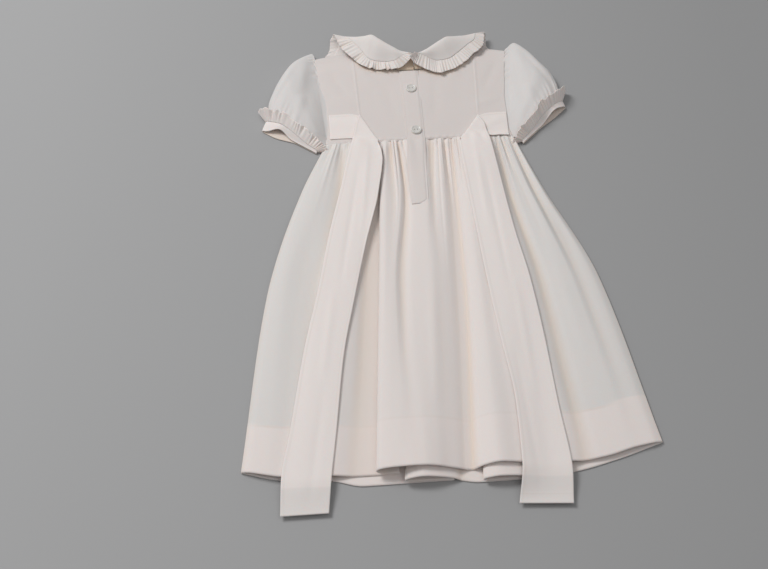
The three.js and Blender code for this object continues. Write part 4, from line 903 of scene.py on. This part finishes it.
def cuffRuffleGrid(side):
    # Each point starts on the seam and goes the ruffle's width towards a lean between up the sleeve and
    # out of the ring. Waves that open towards the free edge move it square to that.
    out = np.linspace(0, 1, 16)[:, None]
    turn = turnsOf(ruffle["cuffWaves"] * ruffle["perWave"], 60)[None, :]
    angle = np.radians(turn)
    cosine = np.cos(angle)
    # The seam runs nearer to the mouth at the underarm end.
    seamAt = mix(ruffle["cuffFrom"], ruffle["cuffInner"], ease(0.2, -0.8, cosine)) + 0 * out
    start = cuffPoint(side, seamAt, turn, 0.5)
    rings = np.array(cuffRings[side])
    chord = rings[1][:2] - rings[1][2:4]
    chord = chord / np.hypot(*chord)
    upSleeve = np.array([-chord[1], chord[0]]) * np.sign(chord[0])
    away = unit(np.stack([0.32 * chord[0] * cosine, 0.32 * chord[1] * cosine, np.sin(angle)], -1))
    fromEnd = np.minimum(turn - 180, 360 - turn)
    onTop = np.where(turn > 180, 1 - ease(0, 28, fromEnd), 1)
    flat, steep = cuffLean[side]
    lean = np.radians(4 + onTop * mix(flat, steep, ease(0.6, 0.97, cosine) * (turn < 180)))
    upSleeve = np.append(upSleeve, 0)
    leaning = np.cos(lean)[..., None] * upSleeve + np.sin(lean)[..., None] * away
    square = np.cos(lean)[..., None] * away - np.sin(lean)[..., None] * upSleeve
    t = turn / 180
    seed = 8 if side == "left" else 9
    size = np.where(turn > 180, 0.25, 1) * np.abs(np.sin(angle)) ** 0.3
    bent = t + 0.012 * (out - 0.4) * uneven(t, 5, seed + 40)
    fine = uneven(bent, ruffle["cuffWaves"], seed) * (0.75 + 0.4 * uneven(t, 3.7, seed + 5))
    swing = ruffle["cuffSwing"] * uneven(t, 5.5, seed + 20) * out ** 1.3
    wave = size * (ruffle["cuffWave"] * fine * out ** 0.8 + swing)
    wide = ruffle["cuffWide"] * (1 + 0.14 * uneven(t, 4, seed + 30) * size)
    wide = wide * np.where(turn > 180, mix(0.6, 1, onTop), 1)
    wide = wide * (1 + 0.22 * ease(0.7, 1, cosine) - 0.2 * ease(0.7, 1, -cosine))
    grid = start + leaning * (wide * out)[..., None] + square * wave[..., None]
    grid[..., 2] = np.maximum(grid[..., 2], ruffle["floor"] + 0.15 * np.sin(6 * angle))
    # The second result is painted shade in the troughs of the waves and near the underarm end.
    return grid, np.clip(-wave / 1.6, 0, 1) * 0.3 + 0.25 * (1 - out) * bump(cosine, -1, 0.3)


for side in sides:
    grid, paintedShade = cuffRuffleGrid(side)
    piece = wallMesh("cuff_ruffle_" + side + "_cloth", grid, ruffle["wall"], ring=True,
                     extra={"doubled": 1.0, "paintedShade": paintedShade})
    finishPiece(piece, litTieCotton, "cuff_ruffle_" + side)
    print("cuff ruffle", side, clothSize(piece))

# The collar and its ruffle. Sections from the centre back round the shoulder to the centre front: neck
# x y z, roll x y z, edge x y z, ruffle rim x y z, and the roll's radius. A missing neck y lies on the
# neckline, neckGap outside it, on the back's up to row frontFrom and then on the front's.
onNeckline = float("nan")
collarRows = {
    "left": [
        [3.8, onNeckline, 7.2, 3.2, 109.8, 17, -1.2, 107.6, 20.6, 4, 106, 19.8, 1],
        [-10, onNeckline, 7.2, -9, 112.9, 17.8, -8, 107.1, 18.3, -1.5, 101.4, 16.5, 1.6],
        [-17, onNeckline, 7.2, -17, 117.2, 19.8, -17, 103.4, 14.5, -13.5, 94.7, 12, 2],
        [-25, onNeckline, 7.1, -25, 122.4, 21.5, -27, 104.5, 11.6, -25.5, 94.2, 11.2, 2],
        [-33, onNeckline, 7, -33, 128.8, 22.5, -37.5, 106.5, 11.4, -38.5, 96, 11.2, 2],
        [-40, onNeckline, 6.9, -40, 135.4, 22, -45.5, 111.5, 11.6, -51, 101.5, 11, 2],
        [-45, 127.5, 6.4, -47, 137.2, 19, -52.5, 123, 13, -63, 116, 10.5, 1.8],
        [-47, 130.8, 6.2, -52, 139, 16.5, -61, 135, 14, -73.5, 131, 11, 1.2],
        [-48, 132.2, 5.5, -58, 141.6, 12.6, -69, 144.4, 12.1, -80.5, 148.5, 11.9, 0],
        [-49.2, 131.2, 4, -60, 141.5, 8, -75, 144, 7, -84.5, 146, 5.5, 0],
        [-49, 132.4, 2.5, -56, 140.4, 2.4, -77, 137, 1.4, -87, 134, 0.9, -0.3],
        [-45, onNeckline, 2.4, -42, 131.5, 1.45, -84, 118, 0.5, -95, 115, 0.5, -0.95],
        [-35, onNeckline, 2.4, -33.7, 120, 1.45, -66, 84, 0.5, -74, 76, 0.5, -0.95],
        [-19, onNeckline, 2.4, -18, 108.5, 1.45, -36, 63, 0.5, -40, 52.5, 0.5, -0.95],
        [-1.2, onNeckline, 2.4, -1.2, 105, 1.45, -1.2, 60, 0.5, -1.2, 49, 0.5, -0.95],
    ],
    "right": [
        [4.5, onNeckline, 8.5, 4, 107.6, 17.2, 5, 105.4, 23.4, -0.5, 102, 22.4, 1],
        [12, onNeckline, 8.4, 10, 110, 17.2, 9.5, 107.6, 19.4, 4.5, 98.8, 15.6, 1.4],
        [18, onNeckline, 8, 17.5, 112.9, 18.6, 19, 104.7, 16, 17, 91.5, 12.4, 1.8],
        [26, onNeckline, 7.5, 26, 119, 19, 30, 102.3, 12.2, 30, 86, 11.8, 2],
        [34, onNeckline, 7.1, 34.5, 125, 19.6, 42, 104.5, 12, 45, 90.3, 11.6, 2],
        [40.5, onNeckline, 6.9, 42, 130.6, 18.6, 53, 113, 12, 60, 101.5, 11.2, 2],
        [45, 127.5, 6.4, 50, 132.4, 16.8, 63, 122.5, 12.5, 71, 113.5, 10.8, 1.6],
        [47, 130.8, 6.2, 57, 134.8, 14.6, 73, 131.5, 13, 82, 125, 10.8, 0.6],
        [48, 132.2, 5.5, 61, 137.2, 11.6, 75.5, 141, 11.5, 84.5, 143, 10, 0],
        [52, 131, 4, 62, 138, 7.6, 77, 141, 7, 86.5, 142, 5.5, 0],
        [49, 131.4, 2.2, 59.3, 139.8, 2.4, 78, 135.5, 1.4, 86.5, 132, 0.9, -0.9],
        [45, onNeckline, 2.4, 42, 131.5, 1.45, 84, 118, 0.5, 95, 115, 0.5, -0.95],
        [35, onNeckline, 2.4, 33, 120, 1.45, 66, 84, 0.5, 74, 76, 0.5, -0.95],
        [19, onNeckline, 2.4, 18, 108.5, 1.45, 36, 63, 0.5, 40, 52.5, 0.5, -0.95],
        [1.2, onNeckline, 2.4, 1.2, 105, 1.45, 1.2, 60, 0.5, 1.2, 49, 0.5, -0.95],
    ],
}
collar = {"wall": 0.6, "neckGap": 0.9, "frontFrom": 7, "shoulderRow": 7.5, "underShade": 0.95}


def collarRails(side):
    rows = np.array(collarRows[side], float)
    seam = np.isnan(rows[:, 1])
    for k in np.flatnonzero(seam):
        neck = backNeck if k < collar["frontFrom"] else frontNeck
        x = rows[k, 0]
        off = np.array([-(neck(x + 0.5) - neck(x - 0.5)), 1])
        off *= collar["neckGap"] / np.hypot(*off)
        rows[k, :2] = x + off[0], neck(x) + off[1]
    return smoothCurve(np.arange(len(rows)), rows)


def collarSection(rails, s, across):
    # Neck seam, stand, roll, fall and edge at each s, joined by a smooth curve in across, from 0 to 2.
    row = rails(s)
    neck, roll, edge, loop = row[:, 0:3], row[:, 3:6], row[:, 6:9], row[:, 12:13]
    rise, fall = unit(roll - neck), unit(edge - roll)
    opened = unit(np.array([0, 0, 1.0]) - rise * rise[:, 2:])
    back = np.maximum(np.abs(loop), 1.5)
    stand, over = roll - rise * back - opened * loop, roll + fall * back + opened * loop
    curve = smoothCurve([0, 0.85, 1, 1.15, 2], np.stack([neck, stand, roll, over, edge]))
    return curve(across).transpose(1, 0, 2)


def collarRuffleGrid(side):
    # From the collar's edge to the rim. Wide and fine waves open towards the rim, on the back more than
    # on the front, where the gown lies on it.
    rails = collarRails(side)
    end = collar["shoulderRow"]
    s = steps((0, 9.3, 620), (9.3, 14, 300))
    row = rails(s)
    edge, rim = row[:, 6:9], row[:, 9:12]
    out = unit(rim - edge)
    before = collarSection(rails, s, np.array([1.65]))[:, 0]
    bend = np.arccos(np.clip((out * unit(edge - before)).sum(1), -1, 1))
    run = unit(rails(s + 0.1)[:, 6:9] - rails(s - 0.1)[:, 6:9])
    # It starts in the collar's wall. Square is 1 where the ruffle leaves the edge at a right angle.
    square, half = np.maximum(0.5, np.linalg.norm(np.cross(run, out), axis=1)), collar["wall"] / 2
    start = edge + out * ((half * np.tan(np.minimum(bend, 2) / 2) - half) / square)[:, None]
    t = np.linspace(0, 1, 16)[None, :]
    count, height = ruffle["waves"][side]
    wide = uneven(s / end, count, 21 if side == "left" else 22)[:, None]
    bent = (s / end)[:, None] + 0.012 * (t - 0.4) * uneven(s / end, 6, 41)[:, None]
    fine = uneven(bent, ruffle["fineWaves"], 23)
    size = mix(1, 0.22, ease(8.0, 9.4, s))[:, None]
    fine = fine * (0.75 + 0.35 * uneven(s / end, 6.3, 27)[:, None])
    wave = size * (height * wide * t ** 1.3 + ruffle["fineWave"] * fine * t ** 0.5)
    reach = 1 + size * t * (0.1 + 0.07 * wide + 0.03 * fine)
    grid = mix(start[:, None], rim[:, None], (t * reach)[..., None])
    normal = unit(np.cross(run, out))
    normal *= np.where(normal[:, 2:] < 0, -1, 1)
    normal = mix(np.array([[0, 0, 1.0]]), normal, 0.6)[:, None]
    grid = grid + normal * wave[..., None]
    grid[..., 2] = np.maximum(grid[..., 2] - 0.2 * (1 - t), 0.3)
    # The second result is painted shade in the troughs of the waves.
    return grid, np.clip(-(wide * 0.35 * height + fine) * size / 1.6, 0, 1) * 0.5


for side in sides:
    alongs = steps((0, 9, 130), (9, 11.2, 50), (11.2, 14, 40))
    acrosses = steps((0, 0.8, 12), (0.8, 1.2, 14), (1.2, 2, 22))
    grid = collarSection(collarRails(side), alongs, acrosses)
    # Painted shade on the neck seam and the stand, under the collar's roll.
    under = collar["underShade"] * (1 - ease(0.6, 1.0, acrosses))[None, :] + 0 * grid[..., 0]
    piece = wallMesh("collar_" + side + "_cloth", grid, collar["wall"], extra={"doubled": 0.4, "paintedShade": under})
    finishPiece(piece, cotton, "collar_" + side)
    print("collar", side, clothSize(piece))
    grid, paintedShade = collarRuffleGrid(side)
    piece = wallMesh("collar_ruffle_" + side + "_cloth", grid, ruffle["collarWall"],
                     extra={"doubled": 0.5, "paintedShade": paintedShade})
    finishPiece(piece, cotton, "collar_ruffle_" + side)
    print("collar ruffle", side, clothSize(piece))

# Floor, light and camera. A painted light falloff makes the floor lighter on the left and darker on the right,
# over the span set below, in metres.
setting = {
    "floorLitLeft": (0.425, 0.425, 0.428, 1), "floorShadedRight": (0.345, 0.345, 0.348, 1), "falloffSpan": (-0.4, 0.35),
    "floorSize": 3.0, "floorDrop": 0.0004, "floorRoughness": 0.9, "skyStrength": 0.275,
    "keyPlace": (-1.35, 0.95, 2.1), "keySize": 1.0, "keyPower": 39,
    "fillPlace": (0.5, -0.6, 2.0), "fillSize": 1.6, "fillPower": 5.5, "aim": (0, -0.13, 0),
}


def areaLight(name, aim):
    data = bpy.data.lights.new(name, "AREA")
    data.size, data.energy = setting[name + "Size"], setting[name + "Power"]
    lamp = addObject(name, data)
    lamp.location = setting[name + "Place"]
    lamp.rotation_euler = (Vector(aim) - Vector(setting[name + "Place"])).to_track_quat("-Z", "Y").to_euler()


aim = (shift / 1000 + np.array(setting["aim"])).tolist()
for name in ("key", "fill"):
    areaLight(name, aim)
world = bpy.data.worlds.new("studio")
world.use_nodes = True
world.node_tree.nodes["Background"].inputs["Color"].default_value = (1, 1, 1, 1)
world.node_tree.nodes["Background"].inputs["Strength"].default_value = setting["skyStrength"]
bpy.context.scene.world = world

floorMesh = bpy.data.meshes.new("floor")
reach, drop = setting["floorSize"], -setting["floorDrop"]
corners = [(-reach, -reach, drop), (reach, -reach, drop), (reach, reach, drop), (-reach, reach, drop)]
floorMesh.from_pydata(corners, [], [(0, 1, 2, 3)])
floor = addObject("floor", floorMesh)
floorMaterial = emptyMaterial("floor")
falloffFrom, falloffTo = setting["falloffSpan"]
# Painted light: the floor's colour fades from lit on the left to shaded on the right.
joinNodes(floorMaterial.node_tree, [
    ("place", "ShaderNodeTexCoord", {}, {}),
    ("split", "ShaderNodeSeparateXYZ", {}, {"Vector": ("place", "Object")}),
    ("across", "ShaderNodeMapRange", {"From Min": falloffFrom, "From Max": falloffTo}, {"Value": ("split", "X")}),
    ("paintedFalloff", "ShaderNodeMix", {"data_type": "RGBA", 6: setting["floorLitLeft"], 7: setting["floorShadedRight"]},
     {0: ("across", "Result")}),
    ("surface", "ShaderNodeBsdfPrincipled", {"Roughness": setting["floorRoughness"]},
     {"Base Color": ("paintedFalloff", 2)}),
    ("out", "ShaderNodeOutputMaterial", {}, {"Surface": ("surface", "BSDF")}),
])
floorMesh.materials.append(floorMaterial)

# The camera's focal length is given in the photo's pixels.
view = {"azimuth": -3.7, "elevation": 55, "distance": 1.4, "sensor": 36, "focal": 1430, "across": 768,
        "target": (-46.9, -182.7, 0)}
target = (np.array(view["target"]) + shift) / 1000
a, e = math.radians(view["azimuth"]), math.radians(view["elevation"])
back = np.array([math.sin(a) * math.cos(e), -math.cos(a) * math.cos(e), math.sin(e)])
cameraData = bpy.data.cameras.new("camera")
cameraData.lens, cameraData.sensor_width = view["sensor"] * view["focal"] / view["across"], view["sensor"]
camera = addObject("camera", cameraData)
camera.location = (target + back * view["distance"]).tolist()
camera.rotation_euler = Vector((-back).tolist()).to_track_quat("-Z", "Y").to_euler()
bpy.context.scene.camera = camera
bpy.context.scene.view_settings.view_transform = "Standard"
print("setting made")
